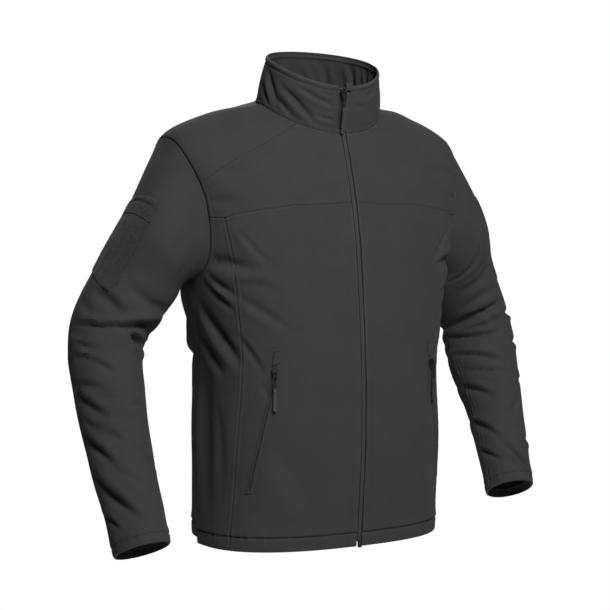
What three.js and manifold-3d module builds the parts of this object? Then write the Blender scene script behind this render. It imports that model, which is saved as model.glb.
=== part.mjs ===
// A softshell jacket as worn, hollow, with its sleeves hanging and its elbows bent forward.
// Millimetres, +Z up, the front towards -Y and the wearer's left side towards +X.
// The origin is the middle of the neck at the height where the jacket hangs on the shoulders.
import * as THREE from "three";
import Module from "manifold-3d";
import { mergeVertices } from "three/addons/utils/BufferGeometryUtils.js";

// Driving dimensions
const WALL = 2; // bonded cloth
const ARMHOLE_WALL = 0.9; // pressed thin where sleeve and body meet
const HEM_SWELL = 1.4; // how much the turned-up hem and cuffs stand out
const RIM_SWELL = 1.8; // and the folded top edge of the collar
const SEAM_GAP = 0.3; // between two pieces at a seam
const ZIP_CHANNEL = 3; // half the open width between the two front edges
const COLLAR_EDGE = { right: 12.8, left: 1.2 }; // of each edge above the seam, where the collar falls open
const TAPE_HALF_WIDTH = 16; // how far a zip tape reaches behind its front edge
const TAPE_THICKNESS = 0.9;
const TAPE_CLEARANCE = 0.5; // between the cloth's inner face and the tape
const PATCH_THICKNESS = 1.6; // loop fabric on the upper sleeve
const STRIP_THICKNESS = 1.2; // pocket zip
const LIFT = 0.4; // clearance of a piece that lies on a panel
const FRONT_SLIDER_V = 1.72; // station of the raised front slider on the collar
const SIDES = { right: -1, left: 1 };

// How many steps each stretch of a seam has; two panels that share a seam share its steps
const STEPS = {
  neckFront: 5,
  shoulderSeam: 5,
  chestFront: 8,
  chestSide: 2,
  yokeRows: 5,
  sleeveFront: 5,
  sleeveTop: 9,
  backHalf: 8,
  sleeveBack: 5,
  bodyRows: 20,
  collarRows: 4,
};

const CLOTH = { color: 0x3a3b3c, roughness: 0.92, metalness: 0 };
const LOOP = { color: 0x2b2c2d, roughness: 1, metalness: 0 };
const TAPE = { color: 0x1c1c1d, roughness: 0.85, metalness: 0 };
const MOULDED = { color: 0x141415, roughness: 0.45, metalness: 0.1 };

function table(columns, rows) {
  return rows.map((row) => Object.fromEntries(columns.map((name, i) => [name, row[i]])));
}

// Rings round the body, from the collar seam (row 0) to the hem (row 7). A ring is squarish in plan,
// and its height goes from the side's to the front's or the back's with the given bend.
const BODY_RING = [
  ...["halfWidth", "sideY", "sideZ", "frontY", "frontZ"],
  ...["backY", "backZ", "square", "frontBend", "backBend"],
];
const TORSO = table(BODY_RING, [
  [105, -14, 0, -92, -46, 62, 16, 2.0, 1.3, 1.3], // collar seam
  [180, 9, -14, -108, -98, 96, -22, 2.2, 1.5, 1.3], // yoke
  [254, 24, -52, -122, -150, 122, -95, 2.5, 1.6, 1.3], // shoulder tips
  [250, 18, -130, -134, -212, 136, -180, 2.6, 1.6, 1.3], // chest
  [224, 4, -262, -142, -285, 142, -280, 2.6, 1.4, 1.4], // armpits
  [202, -4, -390, -150, -390, 132, -390, 2.5, 1.0, 1.0], // waist
  [204, -6, -530, -151, -530, 126, -530, 2.5, 1.0, 1.0], // pockets
  [204, -4, -684, -138, -684, 122, -684, 2.5, 1.0, 1.0], // hem
]);
const COLLAR = table(BODY_RING, [
  [105, -14, 0.4, -92, -45.6, 62, 16.4, 2.0, 1.3, 1.3], // seam
  [100, -22, 32, -97, -10, 53, 52, 2.0, 1.3, 1.3], // middle
  [94, -31, 65, -99, 27, 43, 88, 2.0, 1.3, 0.85], // rim
]);

// The armhole in the body's own stations: a rounded loop from the shoulder tip to the armpit
const ARMHOLE = { top: 1.98, bottom: 4.0, front: 0.343, back: 0.665, middle: 0.5, roundness: 0.8 };

// Rings down each sleeve after the armhole: centre, half widths outwards and forwards, tilt of the ring
const SLEEVE_RING = ["x", "y", "z", "outward", "forward", "tiltOut", "tiltFront"];
const SLEEVES = {
  right: table(SLEEVE_RING, [
    [272, 13, -213, 62, 76, -43, 0], // upper arm, slanted like the armhole
    [298, 28, -270, 65, 69, 0, 0],
    [347, 33, -353, 59, 61, 0, 0], // elbow
    [353, 12, -440, 54, 56, 0, 0],
    [352, -22, -530, 48, 50, 0, 0], // forearm
    [348, -62, -615, 45, 46, 0, 0],
    [346, -83, -665, 43, 44, 1, -2], // cuff
  ]),
  left: table(SLEEVE_RING, [
    [268, 12, -213, 62, 77, -43, 0], // upper arm, slanted like the armhole
    [294, 28, -270, 65, 69, 0, 0],
    [341, 33, -353, 59, 61, 0, 0], // elbow
    [342, 5, -428, 57, 59, 0, 0],
    [335, -38, -505, 46, 48, 0, 0], // forearm
    [324, -80, -580, 41, 42, 0, 0],
    [320, -99, -627, 39, 40, 1, -5], // cuff
  ]),
};
const CUFF_ROW = 7;

// Stations of the body seams: s goes round (0 centre front, 0.5 side, 1 centre back), t goes down
const SEAM = ["s", "t"];
const SEAMS = {
  chest: table(SEAM, [[0, 2.03], [0.1, 2.22], [0.2, 2.68], [0.29, 3.08]]),
  shoulder: table(SEAM, [[0.245, 0], [0.256, 0.9], [0.275, 1.9], [0.31, 2.35]]),
  princess: table(SEAM, [
    ...[[0.29, 3.08], [0.296, 3.7], [0.318, 4.4]],
    ...[[0.338, 5.3], [0.357, 6.2], [0.373, 7]],
  ]),
  side: table(SEAM, [
    ...[[0.5, 4.0], [0.494, 4.5], [0.515, 5.0]],
    ...[[0.535, 5.5], [0.53, 6.2], [0.53, 7]],
  ]),
};
const HEM_T = 7;
const BACK_HEM_T = 6.94; // the back hem ends a little higher than the front
const HEM_BAND_T = 6.86; // the stitched line of the turned-up hem
const CUFF_BAND_T = 6.78;
const RIM_V = 1.75; // where the collar's folded edge starts
const YOKE_FRONT_ANGLE = armAngle(2.65, 1);
const CHEST_ANGLE = armAngle(3.2, 1);
const BACK_ANGLE = -Math.PI / 2;

// Largest folds of the body: from (s0, t0) to (s1, t1), half width and depth, negative stands proud
const BODY_FOLD = ["s0", "t0", "s1", "t1", "width", "depth"];
const BODY_FOLDS = table(BODY_FOLD, [
  [-0.41, 3.87, -0.2, 3.66, 19, 5], // under the right arm, across the chest
  [-0.43, 4.05, -0.24, 4.45, 19, 4],
  [-0.475, 4.4, -0.345, 5.1, 22, 8], // the long one down to the waist
  [-0.49, 5.3, -0.48, 6.6, 22, 4],
  [0.41, 3.87, 0.22, 3.66, 19, 5], // under the left arm
  [0.43, 4.1, 0.28, 4.5, 19, 4],
  [0.47, 4.45, 0.36, 5.1, 22, 7],
  [0.48, 5.2, 0.47, 6.4, 22, 4],
  [-0.6, 4.0, -0.78, 3.8, 22, 5], // the back, from the right armpit
  [-0.56, 4.35, -0.72, 4.85, 24, 7],
  [0.6, 4.05, 0.78, 3.85, 22, 5], // the back, from the left armpit
  [0.55, 4.4, 0.7, 4.95, 24, 7],
  [-0.92, 4.6, -0.7, 5.0, 26, 5], // hollow of the back
  [0.92, 4.8, 0.72, 5.1, 26, 5],
]);

// Largest folds of the sleeves: from (angle0, w0) to (angle1, w1), half width and depth
const SLEEVE_FOLD = ["angle0", "w0", "angle1", "w1", "width", "depth"];
const SLEEVE_FOLDS = {
  right: table(SLEEVE_FOLD, [
    [0, 3.0, 95, 2.87, 14, 6], // elbow crease
    [95, 2.87, 170, 2.74, 16, 9],
    [5, 5.35, 72, 6.14, 16, 6],
    [180, 2.6, 250, 3.0, 16, 6],
  ]),
  left: table(SLEEVE_FOLD, [
    [200, 2.95, 60, 2.8, 13, 11], // elbow crease
    [185, 3.35, 95, 3.5, 13, 6],
    [190, 3.8, 90, 4.15, 15, 5],
    [195, 4.5, 120, 4.95, 15, 6],
    [195, 5.2, 130, 5.6, 15, 6],
    [135, 5.78, 60, 6.3, 15, 5],
    [220, 3.7, 265, 3.9, 15, 4],
  ]),
};
const BODY_SCALE = { across: 560, along: 125 }; // millimetres for one unit of s and of t
const SLEEVE_SCALE = { across: 1, along: 85 }; // millimetres for one degree and one ring
const FOLD_END = 0.22; // share of a fold's length over which it fades in
const SHOULDER_SHARE = 0.15; // how far the cloth beside a fold is pushed the other way

// Loop patch on the upper sleeve: its lower edge by angle, and where its top and its split lie
const PATCH_EDGE = table(["angle", "w"], [[-46, 2.12], [-16, 2.2], [10, 2.29], [40, 2.41], [47.5, 2.18]]);
const PATCH_TOP = { w: 0.916, tilt: -0.0045, frontAngle: 39 };
const PATCH_SPLIT = { w: 1.2, tilt: -0.0026, frontAngle: 42 };
const PATCH = { reach: 80, lift: 0.7 };

// The pocket zip on the front panel: shares of the panel's width from the zip and of its length
const POCKET = table(["u", "v"], [[0.597, 0.512], [0.652, 0.602], [0.72, 0.7], [0.831, 0.855]]);
const POCKET_STRIP = { halfShare: 0.036, steps: 14 };
const POCKET_SLIDER_AT = 0.205; // share of the strip at which the slider rests
const GARAGE = { from: 0.005, to: 0.13, halfShare: 0.04, thickness: 1.4 }; // tab over the top of the zip

// Sliders and pulls: across, out of the cloth and along the zip
const SLIDER = { width: 10, thickness: 3.2, height: 15, finThickness: 1.8, finRadius: 2.6 };
const HINGE = { out: 5.8, up: 2.4, holeRadius: 1.5 };
const RING = { width: 6.6, height: 28, bar: 1.4 };
const TAB = { width: 5.6, thickness: 2.2, frontLength: 40, pocketLength: 34.5 };
const FRONT_PULL_LEAN = THREE.MathUtils.degToRad(8.5); // the front pull leans back against the collar
const SLIDER_NECK = { width: 4.8, depth: 4.3, height: 10 };
const FRONT_SLIDER_LIFT = 2.4; // clears the folded edge of the collar
const FRONT_SLIDER_X = 6.6; // from the centre line towards the wearer's right
const ZIP_BOX = { width: 5, depth: 4.6, height: 11 };
const CHIN_GUARD = { width: 10, thickness: 1.4, halfGap: 2.4, outerLeg: 7, innerLeg: 9, x: 3.8 };

function clamp(value, low, high) {
  return Math.min(high, Math.max(low, value));
}

function lerp(a, b, f) {
  return a + (b - a) * f;
}

// A smooth curve through rows of equal spacing, column by column
function sample(rows, at) {
  const last = rows.length - 1;
  const i = clamp(Math.floor(at), 0, last - 1);
  const f = clamp(at, 0, last) - i;
  const made = {};
  for (const key of Object.keys(rows[0])) {
    const p1 = rows[i][key];
    const p2 = rows[i + 1][key];
    const p0 = i > 0 ? rows[i - 1][key] : 2 * p1 - p2;
    const p3 = i + 2 <= last ? rows[i + 2][key] : 2 * p2 - p1;
    const slope = p2 - p0;
    const curve = 2 * p0 - 5 * p1 + 4 * p2 - p3;
    const twist = 3 * p1 - p0 - 3 * p2 + p3;
    made[key] = 0.5 * (2 * p1 + slope * f + curve * f * f + twist * f * f * f);
  }
  return made;
}

// The s of a seam table at a share of its length in t
function alongSeam(rows, share) {
  const at = lerp(rows[0].t, rows[rows.length - 1].t, share);
  let i = 0;
  while (i < rows.length - 2 && rows[i + 1].t < at) i += 1;
  const f = (at - rows[i].t) / (rows[i + 1].t - rows[i].t);
  return { s: sample(rows, i + f).s, t: at };
}

function ringPoint(row, station) {
  const s = Math.abs(station) > 1 ? station - 2 * Math.sign(station) : station;
  const angle = Math.PI * Math.abs(s);
  const forward = Math.cos(angle);
  const power = 2 / row.square;
  const reach = Math.abs(forward) ** power;
  const endY = forward > 0 ? row.frontY : row.backY;
  const endZ = forward > 0 ? row.frontZ : row.backZ;
  const bend = forward > 0 ? row.frontBend : row.backBend;
  return new THREE.Vector3(
    Math.sign(s) * row.halfWidth * Math.abs(Math.sin(angle)) ** power,
    row.sideY + (endY - row.sideY) * reach,
    row.sideZ + (endZ - row.sideZ) * Math.abs(forward) ** bend,
  );
}

// The s at which a ring is a given distance from the centre line
function stationAt(row, x) {
  return Math.asin(Math.min(1, (x / row.halfWidth) ** (row.square / 2))) / Math.PI;
}

// Depth of a table of folds at a place: a soft trough between two low swells
function foldDepth(folds, scale, a, b, keys) {
  let depth = 0;
  for (const fold of folds) {
    const ax = (fold[keys[2]] - fold[keys[0]]) * scale.across;
    const bx = (fold[keys[3]] - fold[keys[1]]) * scale.along;
    const px = (a - fold[keys[0]]) * scale.across;
    const py = (b - fold[keys[1]]) * scale.along;
    const share = clamp((px * ax + py * bx) / (ax * ax + bx * bx), 0, 1);
    const away = Math.hypot(px - ax * share, py - bx * share) / fold.width;
    const fade = THREE.MathUtils.smoothstep(Math.min(share, 1 - share), -0.02, FOLD_END);
    const trough = Math.exp(-away * away) - SHOULDER_SHARE * Math.exp(-((away - 1.7) ** 2) * 1.6);
    depth += fold.depth * trough * fade;
  }
  return depth;
}

function bodyBase(s, t) {
  return ringPoint(sample(TORSO, t), s);
}

function crossNormal(point, a, b, stepA, stepB) {
  const alongA = point(a + stepA, b).sub(point(a - stepA, b));
  const alongB = point(a, b + stepB).sub(point(a, b - stepB));
  return alongB.cross(alongA).normalize();
}

// The angle round the armhole (0 top, 90 front) of a station, and how far outside the loop it lies
function armAngle(t, towardsFront) {
  const middle = (ARMHOLE.top + ARMHOLE.bottom) / 2;
  const half = (ARMHOLE.bottom - ARMHOLE.top) / 2;
  return Math.acos(clamp((middle - t) / half, -1, 1)) * towardsFront;
}

function armholeStation(angle) {
  const middle = (ARMHOLE.top + ARMHOLE.bottom) / 2;
  const half = (ARMHOLE.bottom - ARMHOLE.top) / 2;
  const lift = Math.sin(angle);
  const reach = lift > 0 ? ARMHOLE.middle - ARMHOLE.front : ARMHOLE.middle - ARMHOLE.back;
  return {
    s: ARMHOLE.middle - reach * Math.abs(lift) ** ARMHOLE.roundness,
    t: middle - half * Math.cos(angle),
  };
}

function armholePoint(side, angle) {
  const at = armholeStation(angle);
  return bodyBase(side * at.s, at.t);
}

// Centre, outward, forward and down directions of each sleeve ring
function sleeveFrames(rows, side) {
  const centres = rows.map((row) => new THREE.Vector3(side * row.x, row.y, row.z));
  return centres.map((centre, i) => {
    const before = centres[Math.max(0, i - 1)];
    const after = centres[Math.min(centres.length - 1, i + 1)];
    const down = after.clone().sub(before).normalize();
    const forward = new THREE.Vector3(0, -1, 0).addScaledVector(down, down.y).normalize();
    const outward = forward.clone().cross(down).multiplyScalar(side);
    return { centre, down, forward, outward };
  });
}

const FRAMES = {
  right: sleeveFrames(SLEEVES.right, SIDES.right),
  left: sleeveFrames(SLEEVES.left, SIDES.left),
};

function sleeveRingPoint(name, k, angle) {
  if (k === 0) return armholePoint(SIDES[name], angle);
  const row = SLEEVES[name][k - 1];
  const frame = FRAMES[name][k - 1];
  const c = Math.cos(angle);
  const s = Math.sin(angle);
  return frame.centre
    .clone()
    .addScaledVector(frame.outward, row.outward * c)
    .addScaledVector(frame.forward, row.forward * s)
    .addScaledVector(frame.down, row.tiltOut * c + row.tiltFront * s);
}

function sleeveBase(name, angle, w) {
  const first = clamp(Math.floor(w) - 1, 0, CUFF_ROW);
  const rings = [];
  for (let k = 0; k <= CUFF_ROW; k += 1) {
    const near = k >= first - 1 && k <= first + 4;
    const p = near ? sleeveRingPoint(name, k, angle) : new THREE.Vector3();
    rings.push({ x: p.x, y: p.y, z: p.z });
  }
  const at = sample(rings, w);
  return new THREE.Vector3(at.x, at.y, at.z);
}

// The direction out of the cloth where a sleeve meets the body, shared by both
function armholeNormal(name, angle) {
  const side = SIDES[name];
  const at = armholeStation(angle);
  const body = crossNormal(bodyBase, side * at.s, at.t, 0.004, 0.02);
  const sleeve = sleeveNormal(name, angle, 0.1);
  return body.add(sleeve).normalize();
}

function sleeveNormal(name, angle, w) {
  const point = (a, b) => sleeveBase(name, a, b);
  return crossNormal(point, angle, w, 0.02, 0.02).multiplyScalar(-SIDES[name]);
}

// A cloth point is its outer face, its inner face and the way out of the cloth.
// A fold moves both faces in, and a swell moves the outer face out.
function clothPoint(base, out, { fold = 0, swell = 0, wall = WALL } = {}) {
  const outer = base.clone().addScaledVector(out, swell - fold);
  return { outer, out, inner: base.clone().addScaledVector(out, -fold - wall) };
}

function bodyPoint(s, t) {
  const onLoop = armholeAngleAt(Math.abs(s), t);
  const name = s < 0 ? "right" : "left";
  const out = onLoop === null ? crossNormal(bodyBase, s, t, 0.004, 0.02) : armholeNormal(name, onLoop);
  const swell = t > HEM_BAND_T ? HEM_SWELL : 0;
  const fold = onLoop === null ? bodyFoldDepth(s, t) * edgeFade(s, t) : 0;
  const wall = onLoop === null ? WALL : ARMHOLE_WALL;
  return clothPoint(bodyBase(s, t), out, { fold, swell, wall });
}

// The folds at a station, also those that reach it across the centre back
function bodyFoldDepth(s, t) {
  const keys = ["s0", "t0", "s1", "t1"];
  const round = s - 2 * Math.sign(s);
  return foldDepth(BODY_FOLDS, BODY_SCALE, s, t, keys) + foldDepth(BODY_FOLDS, BODY_SCALE, round, t, keys);
}

// Folds fade out near the armhole, the collar seam and the hem
function edgeFade(s, t) {
  const rim = THREE.MathUtils.smoothstep(loopDistance(Math.abs(s), t), 1.0, 1.35);
  const hem = 1 - THREE.MathUtils.smoothstep(t, 6.6, 6.9);
  return rim * hem;
}

function loopDistance(s, t) {
  const middle = (ARMHOLE.top + ARMHOLE.bottom) / 2;
  const half = (ARMHOLE.bottom - ARMHOLE.top) / 2;
  const reach = s < ARMHOLE.middle ? ARMHOLE.middle - ARMHOLE.front : ARMHOLE.back - ARMHOLE.middle;
  return Math.hypot((Math.abs(s - ARMHOLE.middle) / reach) ** (1 / ARMHOLE.roundness), (t - middle) / half);
}

function armholeAngleAt(s, t) {
  if (Math.abs(loopDistance(s, t) - 1) > 0.012) return null;
  return s < ARMHOLE.middle ? armAngle(t, 1) : -armAngle(t, 1);
}

function sleevePoint(name, angle, w) {
  const out = w < 0.05 ? armholeNormal(name, angle) : sleeveNormal(name, angle, w);
  const fade = THREE.MathUtils.smoothstep(w, 0.05, 0.5) * (1 - THREE.MathUtils.smoothstep(w, 6.4, 6.8));
  const degrees = THREE.MathUtils.radToDeg(angle);
  const turned = degrees < -100 ? degrees + 360 : degrees;
  const keys = ["angle0", "w0", "angle1", "w1"];
  const fold = foldDepth(SLEEVE_FOLDS[name], SLEEVE_SCALE, turned, w, keys) * fade;
  const swell = w > CUFF_BAND_T ? HEM_SWELL : 0;
  const wall = w < 0.05 ? ARMHOLE_WALL : WALL;
  return clothPoint(sleeveBase(name, angle, w), out, { fold, swell, wall });
}

function collarPoint(s, v) {
  const base = (a, b) => ringPoint(sample(COLLAR, b), a);
  const swell = v > RIM_V ? RIM_SWELL : 0;
  return clothPoint(base(s, v), crossNormal(base, s, v, 0.004, 0.02).negate(), { swell });
}

// A panel between four edges, each a function of a share from 0 to 1, kept half a seam gap inside them
function coons(top, bottom, start, end, us, vs, size) {
  const inU = SEAM_GAP / 2 / size.across;
  const inV = SEAM_GAP / 2 / size.down;
  return us.map((u0) =>
    vs.map((v0) => {
      const u = clamp(u0, inU, 1 - inU);
      const v = clamp(v0, inV, 1 - inV);
      const mix = (key) =>
        lerp(top(u)[key], bottom(u)[key], v) +
        lerp(start(v)[key], end(v)[key], u) -
        lerp(lerp(top(0)[key], top(1)[key], u), lerp(bottom(0)[key], bottom(1)[key], u), v);
      return { s: mix("s"), t: mix("t") };
    }),
  );
}

function shares(count) {
  return Array.from({ length: count + 1 }, (_, i) => i / count);
}

// One edge made of several curves, each with its own number of steps
function chain(...pieces) {
  const total = pieces.reduce((sum, piece) => sum + piece.steps, 0);
  return (share) => {
    let at = share * total;
    for (const piece of pieces) {
      if (at <= piece.steps + 1e-9 || piece === pieces[pieces.length - 1]) {
        return piece.curve(clamp(at / piece.steps, 0, 1));
      }
      at -= piece.steps;
    }
    return null;
  };
}

function line(s0, t0, s1, t1) {
  return (share) => ({ s: lerp(s0, s1, share), t: lerp(t0, t1, share) });
}

function armholeArc(angle0, angle1) {
  return (share) => armholeStation(lerp(angle0, angle1, share));
}

function shoulderSeam(share) {
  const end = armholeStation(YOKE_FRONT_ANGLE);
  const rows = [...SEAMS.shoulder, { s: end.s, t: end.t }];
  return alongSeam(rows, share);
}

function chestSeam(share) {
  return alongSeam(SEAMS.chest, share);
}

function chestSide(share) {
  const start = SEAMS.chest[SEAMS.chest.length - 1];
  const end = armholeStation(CHEST_ANGLE);
  return { s: lerp(start.s, end.s, share), t: lerp(start.t, end.t, share) };
}

function sideSeam(share) {
  return alongSeam(SEAMS.side, share);
}

// The front edge beside the zip, a fixed distance from the centre line
function frontEdge(t) {
  return { s: stationAt(sample(TORSO, t), ZIP_CHANNEL), t };
}

// The line across the back at the middle of the armholes
function backYokeLine(share) {
  const start = armholeStation(BACK_ANGLE);
  return { s: lerp(start.s, 1, share), t: start.t };
}

function yokeGrid() {
  const { neckFront, shoulderSeam: shoulder, chestFront, chestSide: chestEnd, yokeRows } = STEPS;
  const neck = frontEdge(0).s;
  const top = chain(
    { curve: line(neck, 0, SEAMS.shoulder[0].s, 0), steps: neckFront },
    { curve: shoulderSeam, steps: shoulder },
  );
  const bottom = chain({ curve: chestFrom, steps: chestFront }, { curve: chestSide, steps: chestEnd });
  const start = (v) => frontEdge(lerp(0, SEAMS.chest[0].t, v));
  const end = armholeArc(YOKE_FRONT_ANGLE, CHEST_ANGLE);
  const us = shares(neckFront + shoulder);
  return coons(top, bottom, start, end, us, shares(yokeRows), { across: 190, down: 90 });
}

// The chest seam, started at the zip's edge instead of the centre line
function chestFrom(share) {
  const edge = frontEdge(SEAMS.chest[0].t);
  const at = chestSeam(share);
  return { s: lerp(edge.s, SEAMS.chest[SEAMS.chest.length - 1].s, at.s / SEAMS.princess[0].s), t: at.t };
}

function frontGrid() {
  const { chestFront, bodyRows } = STEPS;
  const bottomEnd = SEAMS.princess[SEAMS.princess.length - 1].s;
  const edge = frontEdge(HEM_T);
  const start = (v) => frontEdge(lerp(SEAMS.chest[0].t, HEM_T, v));
  const bottom = line(edge.s, HEM_T, bottomEnd, HEM_T);
  const us = shares(chestFront);
  return coons(chestFrom, bottom, start, princess, us, shares(bodyRows), { across: 200, down: 530 });
}

function princess(share) {
  return alongSeam(SEAMS.princess, share);
}

function sideGrid() {
  const { chestSide: chestEnd, sleeveFront, bodyRows } = STEPS;
  const top = chain(
    { curve: chestSide, steps: chestEnd },
    { curve: armholeArc(CHEST_ANGLE, Math.PI), steps: sleeveFront },
  );
  const bottomStart = SEAMS.princess[SEAMS.princess.length - 1].s;
  const bottomEnd = SEAMS.side[SEAMS.side.length - 1].s;
  const bottom = line(bottomStart, HEM_T, bottomEnd, HEM_T);
  const us = shares(chestEnd + sleeveFront);
  return coons(top, bottom, princess, sideSeam, us, shares(bodyRows), { across: 95, down: 480 });
}

function backUpperGrid() {
  const { shoulderSeam: shoulder, sleeveTop, backHalf } = STEPS;
  const top = line(SEAMS.shoulder[0].s, 0, 1, 0);
  const bottom = chain(
    { curve: armholeArc(YOKE_FRONT_ANGLE, BACK_ANGLE), steps: sleeveTop },
    { curve: backYokeLine, steps: backHalf },
  );
  const end = line(1, 0, 1, armholeStation(BACK_ANGLE).t);
  const us = shares(sleeveTop + backHalf);
  return coons(top, bottom, shoulderSeam, end, us, shares(shoulder), { across: 330, down: 100 });
}

function backLowerGrid() {
  const { backHalf, sleeveBack, bodyRows } = STEPS;
  const sideEnd = SEAMS.side[SEAMS.side.length - 1].s;
  const start = chain(
    { curve: armholeArc(BACK_ANGLE, -Math.PI), steps: sleeveBack },
    { curve: sideSeam, steps: bodyRows },
  );
  const middle = armholeStation(BACK_ANGLE).t;
  const end = chain(
    { curve: line(1, middle, 1, ARMHOLE.bottom), steps: sleeveBack },
    { curve: line(1, ARMHOLE.bottom, 1, HEM_T), steps: bodyRows },
  );
  const bottom = line(sideEnd, HEM_T, 1, HEM_T);
  const vs = shares(sleeveBack + bodyRows);
  return coons(backYokeLine, bottom, start, end, shares(backHalf), vs, { across: 260, down: 560 });
}

// The back's own edges: no gap where its two grids and its two halves join, and a raised hem
function closeBack(grid, joinsAbove) {
  return grid.map((column, i) =>
    column.map((at, j) => {
      const made = { ...at };
      if (i === grid.length - 1) made.s = 1;
      if (joinsAbove && j === 0) made.t = armholeStation(BACK_ANGLE).t;
      const share = clamp((made.t - HEM_BAND_T) / (HEM_T - HEM_BAND_T), 0, 1);
      made.t -= share * (HEM_T - BACK_HEM_T);
      return made;
    }),
  );
}

function placeGrid(grid, side, place) {
  return grid.map((column) => column.map((at) => place(side * at.s, at.t)));
}

// A closed body from grids of cloth points: both faces and a rim round every open edge
function clothGeometry(grids) {
  const keys = new Map();
  const points = [];
  const indexOf = (point) => {
    const key = [point.outer, point.inner]
      .flatMap((p) => [p.x, p.y, p.z])
      .map((v) => Math.round(v * 500))
      .join(" ");
    if (!keys.has(key)) {
      keys.set(key, points.length);
      points.push(point);
    }
    return keys.get(key);
  };
  const quads = [];
  for (const grid of grids) {
    const turned = facesInwards(grid);
    for (const corners of gridQuads(grid)) {
      const quad = corners.map(indexOf);
      quads.push(turned ? quad.reverse() : quad);
    }
  }
  return closedShell(points, quads);
}

function gridQuads(grid) {
  const quads = [];
  for (let i = 0; i + 1 < grid.length; i += 1) {
    for (let j = 0; j + 1 < grid[i].length; j += 1) {
      quads.push([grid[i][j], grid[i + 1][j], grid[i + 1][j + 1], grid[i][j + 1]]);
    }
  }
  return quads;
}

// Whether a grid's quads turn away from the outer side of its cloth
function facesInwards(grid) {
  let sum = 0;
  for (const corners of gridQuads(grid)) {
    const [a, b, c, d] = corners.map((corner) => corner.outer);
    const normal = c.clone().sub(a).cross(d.clone().sub(b));
    sum += normal.dot(corners[0].out) + normal.dot(corners[2].out);
  }
  return sum < 0;
}

function closedShell(points, quads) {
  const count = points.length;
  const index = [];
  const edges = new Map();
  const addQuad = ([a, b, c, d]) => index.push(a, b, c, a, c, d);
  for (const quad of quads) {
    addQuad(quad);
    addQuad([...quad].reverse().map((i) => i + count));
    quad.forEach((a, k) => edges.set(`${a} ${quad[(k + 1) % 4]}`, [a, quad[(k + 1) % 4]]));
  }
  for (const [a, b] of edges.values()) {
    if (!edges.has(`${b} ${a}`)) addQuad([b, a, a + count, b + count]);
  }
  // Inner quads are split along the same diagonal as the outer ones, so the wall keeps its thickness
  const all = [...points.map((p) => p.outer), ...points.map((p) => p.inner)];
  const geometry = new THREE.BufferGeometry().setFromPoints(all);
  geometry.setIndex(index);
  geometry.computeVertexNormals();
  return geometry;
}

function addMesh(parent, name, geometry, finish) {
  const mesh = new THREE.Mesh(geometry, new THREE.MeshStandardMaterial(finish));
  mesh.name = name;
  parent.add(mesh);
  return mesh;
}

// Body panels
function addBody(jacket) {
  for (const [name, side] of Object.entries(SIDES)) {
    const panels = { yoke: yokeGrid(), front: frontGrid(), side: sideGrid() };
    for (const [panel, grid] of Object.entries(panels)) {
      addMesh(jacket, `${panel}_${name}`, clothGeometry([placeGrid(grid, side, bodyPoint)]), CLOTH);
    }
  }
  const upper = closeBack(backUpperGrid(), false);
  const lower = closeBack(backLowerGrid(), true);
  joinAcross(upper, lower);
  const halves = Object.values(SIDES).flatMap((side) => [
    placeGrid(upper, side, bodyPoint),
    placeGrid(lower, side, bodyPoint),
  ]);
  addMesh(jacket, "back", clothGeometry(halves), CLOTH);
}

// The lower row of the back's upper grid takes the places of the lower grid's first row
function joinAcross(upper, lower) {
  const last = upper[0].length - 1;
  lower.forEach((column, i) => {
    const target = upper[STEPS.sleeveTop + i];
    target[last] = { ...column[0] };
  });
}

// The angles at which the body's panels meet a sleeve, from the back seam round to it again
function sleeveAngles(angle0, angle1) {
  const spans = [
    { from: BACK_ANGLE, to: YOKE_FRONT_ANGLE, steps: STEPS.sleeveTop },
    { from: YOKE_FRONT_ANGLE, to: CHEST_ANGLE, steps: STEPS.yokeRows },
    { from: CHEST_ANGLE, to: Math.PI, steps: STEPS.sleeveFront },
    { from: Math.PI, to: Math.PI * 1.5, steps: STEPS.sleeveBack },
  ];
  const all = spans.flatMap((span) => shares(span.steps).map((f) => lerp(span.from, span.to, f)));
  const unique = all.filter((angle, i) => i === 0 || angle - all[i - 1] > 1e-6);
  return unique.filter((angle) => angle >= angle0 - 1e-6 && angle <= angle1 + 1e-6);
}

// Rings down the sleeve, closest together at the elbow
const SLEEVE_STATIONS = [
  0.017, 0.35, 0.8, 1.3, 1.8, 2.2, 2.5, 2.75, 2.95, 3.15, 3.5, 3.9, 4.3, 4.75, 5.2, 5.65, 6.15, 6.77, 6.79, 7,
];

function sleeveGrid(name, angles) {
  const gap = SEAM_GAP / 2 / 50;
  return angles.map((angle, i) => {
    let a = angle;
    if (i === 0) a += gap;
    if (i === angles.length - 1) a -= gap;
    return SLEEVE_STATIONS.map((w) => sleevePoint(name, a, w));
  });
}

// The upper sleeve goes from the back seam over the outside to the seam under the arm
function addSleeves(jacket) {
  const angles = sleeveAngles(BACK_ANGLE, Math.PI * 1.5);
  const underarm = angles.find((angle) => angle >= Math.PI - 1e-6);
  for (const name of Object.keys(SIDES)) {
    const upper = angles.filter((angle) => angle <= underarm + 1e-6);
    const under = angles.filter((angle) => angle >= underarm - 1e-6);
    addMesh(jacket, `sleeve_upper_${name}`, clothGeometry([sleeveGrid(name, upper)]), CLOTH);
    addMesh(jacket, `sleeve_under_${name}`, clothGeometry([sleeveGrid(name, under)]), CLOTH);
  }
}

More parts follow.
